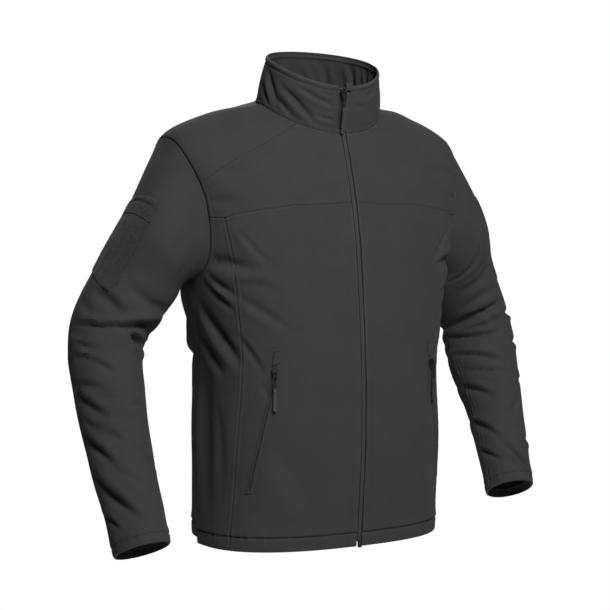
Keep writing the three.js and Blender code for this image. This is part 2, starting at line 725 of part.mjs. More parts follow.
// Collar: one wall from front edge to front edge round the back
function addCollar(jacket) {
  const { neckFront, sleeveTop, backHalf, collarRows } = STEPS;
  const rows = [...shares(collarRows - 1).map((f) => f * 1.7), 1.76, 2];
  const middle = SEAMS.shoulder[0].s;
  const half = (name, v) => {
    const x = lerp(ZIP_CHANNEL, COLLAR_EDGE[name], THREE.MathUtils.smoothstep(v, 0, 0.3));
    const edge = stationAt(sample(COLLAR, v), x);
    const front = shares(neckFront).map((f) => lerp(edge, middle, f));
    const rear = shares(sleeveTop + backHalf).map((f) => lerp(middle, 1, f));
    return [...front, ...rear.slice(1)];
  };
  const columns = rows.map((v) => {
    const right = half("right", v).map((s) => -s);
    const round = [...right, ...half("left", v).reverse().slice(1)];
    return round.map((s) => collarPoint(s, v));
  });
  addMesh(jacket, "collar", clothGeometry([columns]), CLOTH);
}

// A zip tape behind each front edge, from the collar's rim to the hem
function addFrontZip(jacket) {
  for (const [name, side] of Object.entries(SIDES)) {
    const xs = [SEAM_GAP / 2, ZIP_CHANNEL, TAPE_HALF_WIDTH];
    const rail = [];
    const collarStops = [1.7, 1.13, 0.57, 0.03];
    collarStops.forEach((v) => rail.push({ rings: COLLAR, v, place: collarPoint }));
    const yokeStops = shares(STEPS.yokeRows).map((f) => Math.max(0.01, lerp(0, SEAMS.chest[0].t, f)));
    const lowest = HEM_T - 0.05;
    const frontStops = shares(STEPS.bodyRows).map((f) => Math.min(lowest, lerp(SEAMS.chest[0].t, HEM_T, f)));
    [...yokeStops, ...frontStops.slice(1)].forEach((v) => rail.push({ rings: TORSO, v, place: bodyPoint }));
    const grid = xs.map((x) =>
      rail.map(({ rings, v, place }) => {
        const s = stationAt(sample(rings, v), x);
        const at = place(side * s, v);
        return tapePoint(at);
      }),
    );
    addMesh(jacket, `zip_tape_${name}`, clothGeometry([grid]), TAPE);
  }
}

function tapePoint(at) {
  const face = at.inner.clone().addScaledVector(at.out, -TAPE_CLEARANCE);
  return clothPoint(face, at.out, { wall: TAPE_THICKNESS });
}

// A place on a grid of cloth points, between the columns us and the rows vs
function onGrid(grid, us, vs, u, v) {
  const cell = (list, at) => {
    let i = 0;
    while (i < list.length - 2 && list[i + 1] < at) i += 1;
    return { i, f: (at - list[i]) / (list[i + 1] - list[i]) };
  };
  const a = cell(us, u);
  const b = cell(vs, v);
  const mix = (key) => {
    const top = grid[a.i][b.i][key].clone().lerp(grid[a.i + 1][b.i][key], a.f);
    const bottom = grid[a.i][b.i + 1][key].clone().lerp(grid[a.i + 1][b.i + 1][key], a.f);
    return top.lerp(bottom, b.f);
  };
  return { outer: mix("outer"), out: mix("out").normalize() };
}

// A point of a piece that lies on a panel, from the panel's own points
function liftedPoint(at, thickness, lift = LIFT) {
  const face = at.outer.clone().addScaledVector(at.out, lift + thickness);
  return clothPoint(face, at.out, { wall: thickness });
}

// Loop patches: a top strip and the panel under it, which ends in a point towards the front.
// Each is a layer on the sleeve's own points, cut to its outline.
function addPatches(jacket) {
  const angles = sleeveAngles(BACK_ANGLE, Math.PI);
  const back = PATCH_EDGE[0];
  const gap = SEAM_GAP / SLEEVE_SCALE.along;
  for (const [name, side] of Object.entries(SIDES)) {
    const grid = sleeveGrid(name, angles);
    const columns = grid.filter((_, i) => angles[i] < Math.PI * 0.45);
    const lifted = (at) => liftedPoint(at, PATCH_THICKNESS, PATCH.lift);
    const layer = columns.map((column) => column.slice(1, 9).map(lifted));
    const place = (degrees, w) =>
      onGrid(grid, angles, SLEEVE_STATIONS, THREE.MathUtils.degToRad(degrees), w).outer;
    const row = ({ w, tilt, frontAngle }, down = 0) => {
      const across = shares(6).map((f) => lerp(back.angle, frontAngle, f));
      return across.map((angle) => place(angle, w + tilt * angle + down));
    };
    const lower = [...PATCH_EDGE].reverse().map(({ angle, w }) => place(angle, w));
    const strip = [...row(PATCH_TOP), ...row(PATCH_SPLIT).reverse()];
    const panel = [...row(PATCH_SPLIT, gap), ...lower];
    addMesh(jacket, `patch_strip_${name}`, cutToOutline(layer, strip, side), LOOP);
    addMesh(jacket, `patch_loop_${name}`, cutToOutline(layer, panel, side), LOOP);
  }
}

// The part of a layer inside an outline seen from the wearer's side
function cutToOutline(layer, outline, side) {
  const shape = new THREE.Shape(outline.map((p) => new THREE.Vector2(p.y, p.z)));
  const prism = new THREE.ExtrudeGeometry(shape, { depth: PATCH.reach * 2, bevelEnabled: false });
  prism.applyMatrix4(OUT_UP_TO_LOCAL).translate(outline[0].x - PATCH.reach - side * PATCH.reach / 2, 0, 0);
  return geometryOf(solidOf(clothGeometry([layer])).intersect(solidOf(prism)));
}

function solidOf(geometry) {
  const bare = geometry.clone();
  bare.deleteAttribute("normal");
  bare.deleteAttribute("uv");
  const merged = mergeVertices(bare, 1e-4);
  return new wasm.Manifold(
    new wasm.Mesh({
      numProp: 3,
      vertProperties: merged.getAttribute("position").array,
      triVerts: Uint32Array.from(merged.index.array),
    }),
  );
}

function joined(...geometries) {
  return geometryOf(geometries.map(solidOf).reduce((a, b) => a.add(b)));
}

function geometryOf(solid) {
  const { vertProperties, triVerts } = solid.getMesh();
  const geometry = new THREE.BufferGeometry();
  geometry.setAttribute("position", new THREE.BufferAttribute(vertProperties, 3));
  geometry.setIndex(new THREE.BufferAttribute(triVerts, 1));
  geometry.computeVertexNormals();
  return geometry;
}

// A slider plate with a holed fin for the pull, on the local axes across, out and up
function sliderGeometry(neck) {
  const { width, thickness, height, finThickness, finRadius } = SLIDER;
  const plate = new THREE.Shape();
  plate.moveTo(-width / 2, height / 2 - 2);
  plate.lineTo(-width / 2 + 2, height / 2);
  plate.lineTo(width / 2 - 2, height / 2);
  plate.lineTo(width / 2, height / 2 - 2);
  plate.lineTo(width / 2 - 1.6, -height / 2);
  plate.lineTo(-width / 2 + 1.6, -height / 2);
  const solid = plateUpright(plate, thickness);
  const fin = new THREE.Shape();
  fin.moveTo(thickness - 0.6, HINGE.up - finRadius - 1.4);
  fin.lineTo(HINGE.out, HINGE.up - finRadius);
  fin.absarc(HINGE.out, HINGE.up, finRadius, -Math.PI / 2, Math.PI / 2, false);
  fin.lineTo(thickness - 0.6, HINGE.up + finRadius + 1);
  const hole = new THREE.Path();
  hole.absarc(HINGE.out, HINGE.up, HINGE.holeRadius, 0, Math.PI * 2, true);
  fin.holes.push(hole);
  const finShape = { depth: finThickness, bevelEnabled: false, curveSegments: 6 };
  const bridge = new THREE.ExtrudeGeometry(fin, finShape);
  bridge.applyMatrix4(OUT_UP_TO_LOCAL).translate(-finThickness / 2, 0, 0);
  const pieces = [solid, bridge];
  if (neck) {
    const { width: across, depth, height: up } = SLIDER_NECK;
    pieces.push(new THREE.BoxGeometry(across, depth + 1, up).translate(0, (1 - depth) / 2, 0));
  }
  return joined(...pieces);
}

// Turns a shape drawn in (out, up), extruded sideways, onto the local axes
const OUT_UP_TO_LOCAL = new THREE.Matrix4().makeBasis(
  new THREE.Vector3(0, 1, 0),
  new THREE.Vector3(0, 0, 1),
  new THREE.Vector3(1, 0, 0),
);
// Turns a shape drawn in (across, up), extruded outwards, onto the local axes
const ACROSS_UP_TO_LOCAL = new THREE.Matrix4().makeBasis(
  new THREE.Vector3(-1, 0, 0),
  new THREE.Vector3(0, 0, 1),
  new THREE.Vector3(0, 1, 0),
);

function plateUpright(shape, thickness) {
  const plate = new THREE.ExtrudeGeometry(shape, { depth: thickness, bevelEnabled: false });
  return plate.applyMatrix4(ACROSS_UP_TO_LOCAL);
}

// A wire ring through the fin, and the strip that hangs from it, leaning back by an angle
function pullGeometry(tabLength, lean) {
  const { width, height, bar } = RING;
  const top = HINGE.up + bar / 2;
  const ring = new THREE.Shape();
  ring.moveTo(-width / 2, top);
  ring.lineTo(width / 2, top);
  ring.lineTo(width / 2 - 0.8, top - height);
  ring.lineTo(-width / 2 + 0.8, top - height);
  const opening = new THREE.Path();
  opening.moveTo(-width / 2 + bar, top - bar);
  opening.lineTo(-width / 2 + bar + 0.6, top - height + bar);
  opening.lineTo(width / 2 - bar - 0.6, top - height + bar);
  opening.lineTo(width / 2 - bar, top - bar);
  ring.holes.push(opening);
  const wire = plateUpright(ring, bar).translate(0, HINGE.out - bar / 2, 0);
  const tab = new THREE.Shape();
  const start = top - height + bar;
  const end = start - tabLength;
  tab.moveTo(-TAB.width / 2 + 0.8, start);
  tab.lineTo(TAB.width / 2 - 0.8, start);
  tab.lineTo(TAB.width / 2, end + 1.5);
  tab.lineTo(TAB.width / 2 - 1.5, end);
  tab.lineTo(-TAB.width / 2 + 1.5, end);
  tab.lineTo(-TAB.width / 2, end + 1.5);
  const strip = plateUpright(tab, TAB.thickness).translate(0, HINGE.out - TAB.thickness / 2, 0);
  const pull = joined(wire, strip).translate(0, -HINGE.out, -HINGE.up).rotateX(-lean);
  return pull.translate(0, HINGE.out, HINGE.up);
}

// A slider and its pull at a place on the cloth, upright, facing the cloth's way out
function addSliderSet(jacket, names, at, { lift, neck, tabLength, lean }) {
  const out = at.out.clone().setZ(0).normalize();
  const across = out.clone().cross(new THREE.Vector3(0, 0, 1));
  const basis = new THREE.Matrix4().makeBasis(across, out, new THREE.Vector3(0, 0, 1));
  const position = at.outer.clone().addScaledVector(out, lift);
  const meshes = [
    addMesh(jacket, names.slider, sliderGeometry(neck), MOULDED),
    addMesh(jacket, names.pull, pullGeometry(tabLength, lean), MOULDED),
  ];
  for (const mesh of meshes) {
    mesh.position.copy(position);
    mesh.setRotationFromMatrix(basis);
  }
}

function addPockets(jacket) {
  const us = shares(STEPS.chestFront);
  const vs = shares(STEPS.bodyRows);
  for (const [name, side] of Object.entries(SIDES)) {
    const panel = placeGrid(frontGrid(), side, bodyPoint);
    const centre = (share) => sample(POCKET, share * (POCKET.length - 1));
    const lift = LIFT * 2 + STRIP_THICKNESS;
    const band = (from, to, steps, halfShare, thickness, above) =>
      [-1, 0, 1].map((edge) =>
        shares(steps).map((f) => {
          const at = centre(lerp(from, to, f));
          return liftedPoint(onGrid(panel, us, vs, at.u + edge * halfShare, at.v), thickness, above);
        }),
      );
    const strip = band(0, 1, POCKET_STRIP.steps, POCKET_STRIP.halfShare, STRIP_THICKNESS, LIFT);
    addMesh(jacket, `pocket_zip_${name}`, clothGeometry([strip]), TAPE);
    const garage = band(GARAGE.from, GARAGE.to, 2, GARAGE.halfShare, GARAGE.thickness, lift);
    addMesh(jacket, `pocket_garage_${name}`, clothGeometry([garage]), CLOTH);
    const at = centre(POCKET_SLIDER_AT);
    const names = { slider: `pocket_slider_${name}`, pull: `pocket_pull_${name}` };
    const place = onGrid(panel, us, vs, at.u, at.v);
    addSliderSet(jacket, names, place, { lift, neck: false, tabLength: TAB.pocketLength, lean: 0 });
  }
}

// The raised slider with its pull, and the bottom stop of the front zip
function addFrontHardware(jacket) {
  const station = stationAt(sample(COLLAR, FRONT_SLIDER_V), FRONT_SLIDER_X);
  const at = collarPoint(-station, FRONT_SLIDER_V);
  const names = { slider: "front_slider", pull: "front_pull" };
  const hung = { lift: FRONT_SLIDER_LIFT, neck: true, tabLength: TAB.frontLength, lean: FRONT_PULL_LEAN };
  addSliderSet(jacket, names, at, hung);
  const hem = bodyPoint(0, HEM_T);
  const stop = new THREE.BoxGeometry(ZIP_BOX.width, ZIP_BOX.depth, ZIP_BOX.height);
  const box = addMesh(jacket, "zip_box", stop, MOULDED);
  box.position.copy(hem.outer).add(new THREE.Vector3(0, 0.2, ZIP_BOX.height / 2 - 1));
}

// The strip of cloth that folds over the collar's top edge beside the zip
function addChinGuard(jacket) {
  const { width, thickness, halfGap, outerLeg, innerLeg, x } = CHIN_GUARD;
  const bend = new THREE.Shape();
  const reach = halfGap + thickness;
  bend.moveTo(reach, -outerLeg);
  bend.lineTo(reach, 0);
  bend.absarc(0, 0, reach, 0, Math.PI, false);
  bend.lineTo(-reach, -innerLeg);
  bend.lineTo(-halfGap, -innerLeg);
  bend.lineTo(-halfGap, 0);
  bend.absarc(0, 0, halfGap, Math.PI, 0, true);
  bend.lineTo(halfGap, -outerLeg);
  const guard = new THREE.ExtrudeGeometry(bend, { depth: width, bevelEnabled: false, curveSegments: 5 });
  guard.applyMatrix4(OUT_UP_TO_LOCAL).translate(-width / 2, 0, 0);
  const rim = collarPoint(stationAt(sample(COLLAR, 2), x), 2);
  const mesh = addMesh(jacket, "chin_guard", guard, CLOTH);
  const { out } = rim;
  const along = new THREE.Vector3(1, 0, 0).addScaledVector(out, -out.x).normalize();
  const up = along.clone().cross(out).negate();
  if (up.z < 0) up.negate();
  const basis = new THREE.Matrix4().makeBasis(out.clone().cross(up), out, up);
  const middle = rim.outer.clone().add(rim.inner).multiplyScalar(0.5);
  mesh.position.copy(middle).addScaledVector(up, 0.4);
  mesh.setRotationFromMatrix(basis);
}

const wasm = await Module();
wasm.setup();

const jacket = new THREE.Group();
addBody(jacket);
addSleeves(jacket);
addCollar(jacket);
addFrontZip(jacket);
addPatches(jacket);
addPockets(jacket);
addFrontHardware(jacket);
addChinGuard(jacket);

export default jacket;
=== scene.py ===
"""Dresses the softshell jacket: fine cloth, stitching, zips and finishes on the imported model.

Sizes in the tables are millimetres, +Z up, the front towards -Y and the wearer's left towards +X.
"""

from __future__ import annotations

import logging
import math
from dataclasses import dataclass, field
from enum import Enum
from typing import Callable

import bpy
import numpy as np
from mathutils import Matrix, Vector

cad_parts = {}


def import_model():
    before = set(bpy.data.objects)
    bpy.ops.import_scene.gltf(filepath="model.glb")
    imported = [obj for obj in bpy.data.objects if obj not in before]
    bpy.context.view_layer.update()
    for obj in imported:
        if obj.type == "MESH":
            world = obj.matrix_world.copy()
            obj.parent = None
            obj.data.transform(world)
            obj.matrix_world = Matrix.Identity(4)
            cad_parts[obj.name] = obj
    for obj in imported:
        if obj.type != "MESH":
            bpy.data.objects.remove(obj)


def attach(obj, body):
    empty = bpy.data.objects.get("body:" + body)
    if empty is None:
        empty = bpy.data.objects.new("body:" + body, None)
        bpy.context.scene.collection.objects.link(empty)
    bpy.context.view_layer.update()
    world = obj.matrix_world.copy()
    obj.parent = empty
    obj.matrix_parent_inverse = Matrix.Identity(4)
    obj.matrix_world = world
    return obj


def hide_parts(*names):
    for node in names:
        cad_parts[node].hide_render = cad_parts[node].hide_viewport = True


LOG = logging.getLogger("jacket")
MM = 0.001
BODY = "jacket"
PANELS = ("yoke", "front", "side", "upper", "lower")

# Millimetres from an edge of cloth to its fold or its row of stitches
HEM_FOLD = 23.0
CUFF_FOLD = 15.0
HEM_STITCHES = 22.8
CUFF_STITCHES = 11.6
ZIP_STITCHES = 13.0
SEAM_STITCHES = 3.4
YOKE_STITCHES = 3.6

CUT_SHARE = 0.98  # flat cut for the area of creased cloth
WELD_PER_MM = 40  # points nearer than a fortieth of a millimetre are one
CLOTH_BEND = 55  # degrees up to which cloth is shaded smooth
SMALL_BEND = 40  # degrees up to which small parts are shaded smooth

Array = np.ndarray
Pair = tuple[Array, Array]
Edge1D = Callable[[Array], Pair]
Socket = bpy.types.NodeSocket
Material = bpy.types.Material
Piece = bpy.types.Object


class Side(Enum):
    """The wearer's sides, with the direction of X."""

    RIGHT = ("right", -1)
    LEFT = ("left", 1)

    @property
    def word(self) -> str:
        """The word used in names."""
        return self.value[0]

    @property
    def sign(self) -> int:
        """The sign of X."""
        return self.value[1]


class Border(Enum):
    """The four borders of a grid of cloth: first and last column, first and last row."""

    START = "start"
    END = "end"
    TOP = "top"
    BOTTOM = "bottom"


class Edge(Enum):
    """How the cloth is worked along a line."""

    SEAM = "two pieces sewn, pressed and stitched down"
    SET_IN = "a piece set in and pressed to one side"
    HEM = "turned up and stitched"
    CUFF = "turned in and stitched"
    ZIP = "folded edge beside the zip"
    RIM = "folded top edge of the collar"


class Shape(Enum):
    """The small shapes that are repeated along lines."""

    STITCH = "stitch"
    TOOTH = "tooth"


# Shared maths


def smooth(value: Array, low: float, high: float) -> Array:
    """A soft step from 0 at low to 1 at high.

    Args:
        value: Where to evaluate.
        low: Start of the step.
        high: End of the step.

    Returns:
        The step's height.
    """
    f = np.clip((value - low) / (high - low), 0.0, 1.0)
    return f * f * (3.0 - 2.0 * f)


def hump(value: Array, middle: float, width: float) -> Array:
    """A smooth hump of height 1 at the middle, which falls to 0.37 at its width."""
    return np.exp(-(((value - middle) / width) ** 2))


def catmull(rows: Array, at: Array) -> Array:
    """A smooth curve through evenly spaced rows, one curve for each place asked.

    Args:
        rows: Rows of values, shaped (rows, places, columns).
        at: The row coordinate of each place.

    Returns:
        The values, shaped (places, columns).
    """
    last = len(rows) - 1
    i = np.clip(np.floor(at).astype(int), 0, last - 1)
    f = (np.clip(at, 0, last) - i)[:, None]
    n = np.arange(len(at))
    p1, p2 = rows[i, n], rows[i + 1, n]
    p0 = np.where((i > 0)[:, None], rows[np.maximum(i - 1, 0), n], 2 * p1 - p2)
    p3 = np.where((i + 2 <= last)[:, None], rows[np.minimum(i + 2, last), n], 2 * p2 - p1)
    curve = 2 * p0 - 5 * p1 + 4 * p2 - p3
    twist = 3 * p1 - p0 - 3 * p2 + p3
    return 0.5 * (2 * p1 + (p2 - p0) * f + curve * f**2 + twist * f**3)


def ring_point(row: Array, station: Array) -> Array:
    """Points on body rings.

    Args:
        row: Ring values for each place, shaped (places, 10).
        station: Place round each ring, 0 at the front and 1 at the back.

    Returns:
        Points, shaped (places, 3).
    """
    s = np.where(np.abs(station) > 1, station - 2 * np.sign(station), station)
    half, side_y, side_z, front_y, front_z, back_y, back_z, square, front_bend, back_bend = row.T
    angle = np.pi * np.abs(s)
    forward = np.cos(angle)
    front = forward > 0
    power = 2.0 / square
    reach = np.abs(forward) ** power
    x = np.sign(s) * half * np.abs(np.sin(angle)) ** power
    y = side_y + (np.where(front, front_y, back_y) - side_y) * reach
    bend = np.where(front, front_bend, back_bend)
    z = side_z + (np.where(front, front_z, back_z) - side_z) * np.abs(forward) ** bend
    return np.stack([x, y, z], axis=1)


def unit(vectors: Array) -> Array:
    """The vectors at length one."""
    return vectors / np.maximum(np.linalg.norm(vectors, axis=-1, keepdims=True), 1e-9)


def ripple(place: Array, seed: int, waves: tuple[float, ...]) -> Array:
    """An uneven wave along a length, the same on every run.

    Args:
        place: Distance in millimetres.
        seed: Sets the phases.
        waves: Wavelengths in millimetres.

    Returns:
        Heights between about -1 and 1.
    """
    rng = np.random.default_rng(seed)
    total = np.zeros_like(place, dtype=float)
    for length in waves:
        total += np.sin(2 * np.pi * place / (length * rng.uniform(0.92, 1.08)) + rng.uniform(0, 6.28))
    return total / max(1.0, len(waves) ** 0.7)


@dataclass(frozen=True)
class Crease:
    """One soft trough in the cloth with a ridge pushed up beside it.

    The line goes through two or three stations. A negative depth makes a ridge.
    """

    line: tuple[tuple[float, float], ...]
    width: float
    depth: float
    ridge: float = 0.45
    lean: float = 1.0

    def height(self, a: Array, b: Array, across: float, along: float) -> Array:
        """The rise of the cloth at places in station coordinates.

        Args:
            a: First station.
            b: Second station.
            across: Millimetres in one unit of a.
            along: Millimetres in one unit of b.

        Returns:
            Millimetres out of the cloth.
        """
        spans = list(zip(self.line[:-1], self.line[1:]))
        lengths = [math.hypot((q[0] - p[0]) * across, (q[1] - p[1]) * along) for p, q in spans]
        total = sum(lengths)
        best = np.full(a.shape, 1e9)
        signed = np.zeros(a.shape)
        share = np.zeros(a.shape)
        before = 0.0
        for (p, q), length in zip(spans, lengths):
            ux, uy = (q[0] - p[0]) * across / length, (q[1] - p[1]) * along / length
            px, py = (a - p[0]) * across, (b - p[1]) * along
            run = np.clip(px * ux + py * uy, 0, length)
            dx, dy = px - run * ux, py - run * uy
            away = np.hypot(dx, dy)
            near = away < best
            best = np.where(near, away, best)
            signed = np.where(near, np.sign(ux * py - uy * px) * away, signed)
            share = np.where(near, (before + run) / total, share)
            before += length
        taper = np.sin(np.pi * np.clip(share * 0.94 + 0.03, 0, 1)) ** 0.7
        width = self.width * (0.75 + 0.25 * taper)
        trough = -np.exp(-((signed / width) ** 2))
        beside = self.ridge * np.exp(-(((signed - self.lean * 1.75 * width) / (1.15 * width)) ** 2))
        end = np.exp(-np.maximum(best - np.abs(signed), 0) / width)
        return self.depth * (trough + beside) * taper * end


@dataclass(frozen=True)
class Relief:
    """The creases of one form and the slight unevenness of its cloth."""

    creases: tuple[Crease, ...]
    across: float
    along: float
    seed: int
    sway: float = 0.7

    def height(self, a: Array, b: Array) -> Array:
        """Millimetres out of the cloth at the stations.

        Args:
            a: Stations round.
            b: Stations down.

        Returns:
            Heights, shaped as the stations.
        """
        total = np.zeros(a.shape)
        for crease in self.creases:
            total += crease.height(a, b, self.across, self.along)
        x, y = a * self.across, b * self.along
        rng = np.random.default_rng(self.seed)
        for _ in range(7):
            turn, length = rng.uniform(0, np.pi), rng.uniform(55, 150)
            phase = rng.uniform(0, 6.28)
            wave = np.sin(2 * np.pi * (x * math.cos(turn) + y * math.sin(turn)) / length + phase)
            total += wave * self.sway * length / 320
        return total


# The garment's form


@dataclass(frozen=True)
class Armhole:
    """The loop in the body's stations at which a sleeve is set in."""

    top: float = 1.98
    bottom: float = 4.0
    front: float = 0.343
    back: float = 0.665
    middle: float = 0.5
    roundness: float = 0.8

    def angle(self, t: float) -> float:
        """The angle round the loop of a height on its front half."""
        middle, half = (self.top + self.bottom) / 2, (self.bottom - self.top) / 2
        return math.acos(min(1.0, max(-1.0, (middle - t) / half)))

    def station(self, angle: Array) -> Pair:
        """The stations of angles round the loop, 0 at the top and 90 degrees in front.

        Args:
            angle: Angles in radians.

        Returns:
            Shares round the body and heights.
        """
        middle, half = (self.top + self.bottom) / 2, (self.bottom - self.top) / 2
        lift = np.sin(angle)
        reach = np.where(lift > 0, self.middle - self.front, self.middle - self.back)
        return self.middle - reach * np.abs(lift) ** self.roundness, middle - half * np.cos(angle)

    def distance(self, s: Array, t: Array) -> Array:
        """How far outside the loop stations lie, 1 on it.

        Args:
            s: Shares round the body.
            t: Heights in the rings' stations.

        Returns:
            Distances, 1 on the loop.
        """
        middle, half = (self.top + self.bottom) / 2, (self.bottom - self.top) / 2
        reach = np.where(s < self.middle, self.middle - self.front, self.back - self.middle)
        return np.hypot((np.abs(s - self.middle) / reach) ** (1 / self.roundness), (t - middle) / half)


@dataclass(frozen=True)
class BodyForm:
    """The trunk: rings from the collar seam to the hem, and its seams in stations s and t."""

    rings: tuple[tuple[float, ...], ...] = (
        (105, -14, 0, -92, -46, 62, 16, 2.0, 1.3, 1.3),
        (180, 9, -14, -108, -98, 96, -22, 2.2, 1.5, 1.3),
        (254, 24, -52, -122, -150, 122, -95, 2.5, 1.6, 1.3),
        (250, 18, -130, -134, -212, 136, -180, 2.6, 1.6, 1.3),
        (224, 4, -262, -142, -285, 142, -280, 2.6, 1.4, 1.4),
        (202, -4, -390, -150, -390, 132, -390, 2.5, 1.0, 1.0),
        (204, -6, -530, -151, -530, 126, -530, 2.5, 1.0, 1.0),
        (204, -4, -684, -138, -684, 122, -684, 2.5, 1.0, 1.0),
    )
    armhole: Armhole = Armhole()
    channel: float = 4.8
    across: float = 560.0
    along: float = 125.0
    hem_t: float = 7.0
    back_hem_t: float = 6.94
    chest: tuple[tuple[float, float], ...] = ((0, 2.03), (0.1, 2.22), (0.2, 2.68), (0.29, 3.08))
    shoulder: tuple[tuple[float, float], ...] = ((0.245, 0), (0.256, 0.9), (0.275, 1.9), (0.31, 2.35))
    princess: tuple[tuple[float, float], ...] = (
        (0.29, 3.08), (0.296, 3.7), (0.318, 4.4), (0.338, 5.3), (0.357, 6.2), (0.373, 7),
    )
    side: tuple[tuple[float, float], ...] = (
        (0.5, 4.0), (0.494, 4.5), (0.515, 5.0), (0.535, 5.5), (0.53, 6.2), (0.53, 7),
    )
    creases: tuple[Crease, ...] = (
        # the right side, from the armpit across the chest and down to the waist
        Crease(((-0.407, 3.83), (-0.32, 3.76), (-0.235, 3.74)), 11.5, 8.6, 0.5, 1),
        Crease(((-0.31, 3.96), (-0.24, 3.98), (-0.175, 4.04)), 11, 2.6, 0.3, -1),
        Crease(((-0.425, 3.93), (-0.37, 4.05), (-0.315, 4.17)), 6, 5.2, 0.5, 1),
        Crease(((-0.306, 4.17), (-0.238, 4.36), (-0.166, 4.6)), 9, 3.8, 0.4, 1),
        Crease(((-0.433, 4.03), (-0.385, 4.2), (-0.335, 4.38)), 6.5, 5.8, 0.5, -1),
        Crease(((-0.474, 4.36), (-0.41, 4.72), (-0.345, 5.02)), 10, 10.5, 0.5, 1),
        Crease(((-0.5, 4.72), (-0.46, 4.95), (-0.415, 5.18)), 8, 5.8, 0.4, 1),
        Crease(((-0.33, 4.72), (-0.295, 4.93), (-0.262, 5.14)), 6, 3.8, 0.4, -1),
        Crease(((-0.272, 5.24), (-0.24, 5.44)), 5, 2.2, 0.4, 1),
        Crease(((-0.49, 5.24), (-0.485, 5.95), (-0.478, 6.62)), 13, 5.8, 0.35, 1),
        Crease(((-0.445, 5.5), (-0.42, 5.9), (-0.41, 6.4)), 12, 3.0, 0.3, -1),
        Crease(((-0.25, 3.2), (-0.22, 3.42), (-0.185, 3.62)), 8, 2.8, 0.4, 1),
        Crease(((-0.23, 5.9), (-0.17, 6.25), (-0.12, 6.5)), 16, 2.2, 0.3, 1),
        # the left side
        Crease(((0.262, 3.25), (0.225, 3.43), (0.19, 3.62)), 8, 5.0, 0.5, -1),
        Crease(((0.41, 3.84), (0.31, 3.76), (0.215, 3.7)), 8, 6.2, 0.5, 1),
        Crease(((0.42, 3.95), (0.35, 4.07), (0.27, 4.22)), 7, 5.8, 0.5, 1),
        Crease(((0.44, 4.08), (0.37, 4.34), (0.28, 4.6)), 8, 5.2, 0.5, -1),
        Crease(((0.47, 4.4), (0.42, 4.72), (0.352, 5.06)), 11, 8.8, 0.5, 1),
        Crease(((0.495, 4.8), (0.45, 5.02), (0.4, 5.2)), 9, 5.0, 0.4, -1),
        Crease(((0.31, 4.55), (0.27, 4.8), (0.24, 5.0)), 8, 2.8, 0.4, 1),
        Crease(((0.485, 5.2), (0.48, 5.9), (0.468, 6.5)), 13, 5.5, 0.35, 1),
        Crease(((0.43, 5.6), (0.41, 6.0), (0.4, 6.4)), 12, 2.8, 0.3, -1),
        Crease(((0.2, 5.8), (0.15, 6.2), (0.11, 6.5)), 16, 2.2, 0.3, -1),
        # the back
        Crease(((-0.59, 3.97), (-0.68, 3.87), (-0.79, 3.83)), 9, 6.9, 0.5, 1),
        Crease(((-0.575, 4.12), (-0.66, 4.22), (-0.75, 4.36)), 9, 5.8, 0.5, 1),
        Crease(((-0.545, 4.34), (-0.62, 4.62), (-0.72, 4.88)), 11, 8.1, 0.5, -1),
        Crease(((-0.56, 4.9), (-0.65, 5.05), (-0.78, 5.1)), 10, 5.2, 0.45, 1),
        Crease(((-0.68, 3.1), (-0.72, 3.45), (-0.78, 3.7)), 11, 4.0, 0.4, 1),
        Crease(((-0.64, 5.5), (-0.72, 5.9), (-0.76, 6.4)), 16, 3.5, 0.35, 1),
        Crease(((0.6, 4.0), (0.69, 3.92), (0.8, 3.9)), 9, 6.5, 0.5, -1),
        Crease(((0.58, 4.18), (0.67, 4.3), (0.77, 4.46)), 9, 5.5, 0.5, -1),
        Crease(((0.55, 4.42), (0.62, 4.68), (0.7, 4.97)), 11, 7.8, 0.5, 1),
        Crease(((0.57, 4.97), (0.66, 5.1), (0.79, 5.16)), 10, 5.0, 0.45, -1),
        Crease(((0.67, 3.15), (0.71, 3.45), (0.76, 3.68)), 11, 3.8, 0.4, -1),
        Crease(((0.65, 5.6), (0.72, 6.0), (0.74, 6.5)), 16, 3.5, 0.35, -1),
        Crease(((-0.93, 4.5), (-0.84, 4.75), (-0.74, 4.95)), 14, 4.5, 0.4, -1),
        Crease(((0.94, 4.66), (0.86, 4.9), (0.76, 5.08)), 14, 4.2, 0.4, 1),
        Crease(((-0.9, 0.45), (-0.82, 0.9), (-0.72, 1.2)), 14, 2.8, 0.4, 1),
        Crease(((0.9, 0.5), (0.82, 0.95), (0.72, 1.25)), 14, 2.8, 0.4, -1),
        # the shoulders
        Crease(((-0.2, 1.5), (-0.25, 1.9), (-0.3, 2.2)), 9, 2.0, 0.4, 1),
        Crease(((0.2, 1.5), (0.25, 1.9), (0.3, 2.2)), 9, 2.0, 0.4, -1),
        Crease(((-0.24, 2.55), (-0.28, 2.75), (-0.325, 2.95)), 8, 2.5, 0.4, 1),
        Crease(((0.24, 2.5), (0.28, 2.72), (0.325, 2.9)), 8, 2.8, 0.4, -1),
    )

    def rows(self, t: Array) -> Array:
        """Ring values at heights t, shaped (places, 10)."""
        table = np.array(self.rings, float)[:, None, :]
        return catmull(np.broadcast_to(table, (len(table), len(t), 10)), t)

    def base(self, s: Array, t: Array) -> Array:
        """Points of the form without creases."""
        return ring_point(self.rows(t), s)

    def normal(self, s: Array, t: Array) -> Array:
        """The direction out of the cloth.

        Args:
            s: Shares round the body.
            t: Heights in the rings' stations.

        Returns:
            Unit directions.
        """
        along_s = self.base(s + 0.004, t) - self.base(s - 0.004, t)
        along_t = self.base(s, t + 0.02) - self.base(s, t - 0.02)
        return unit(np.cross(along_t, along_s))

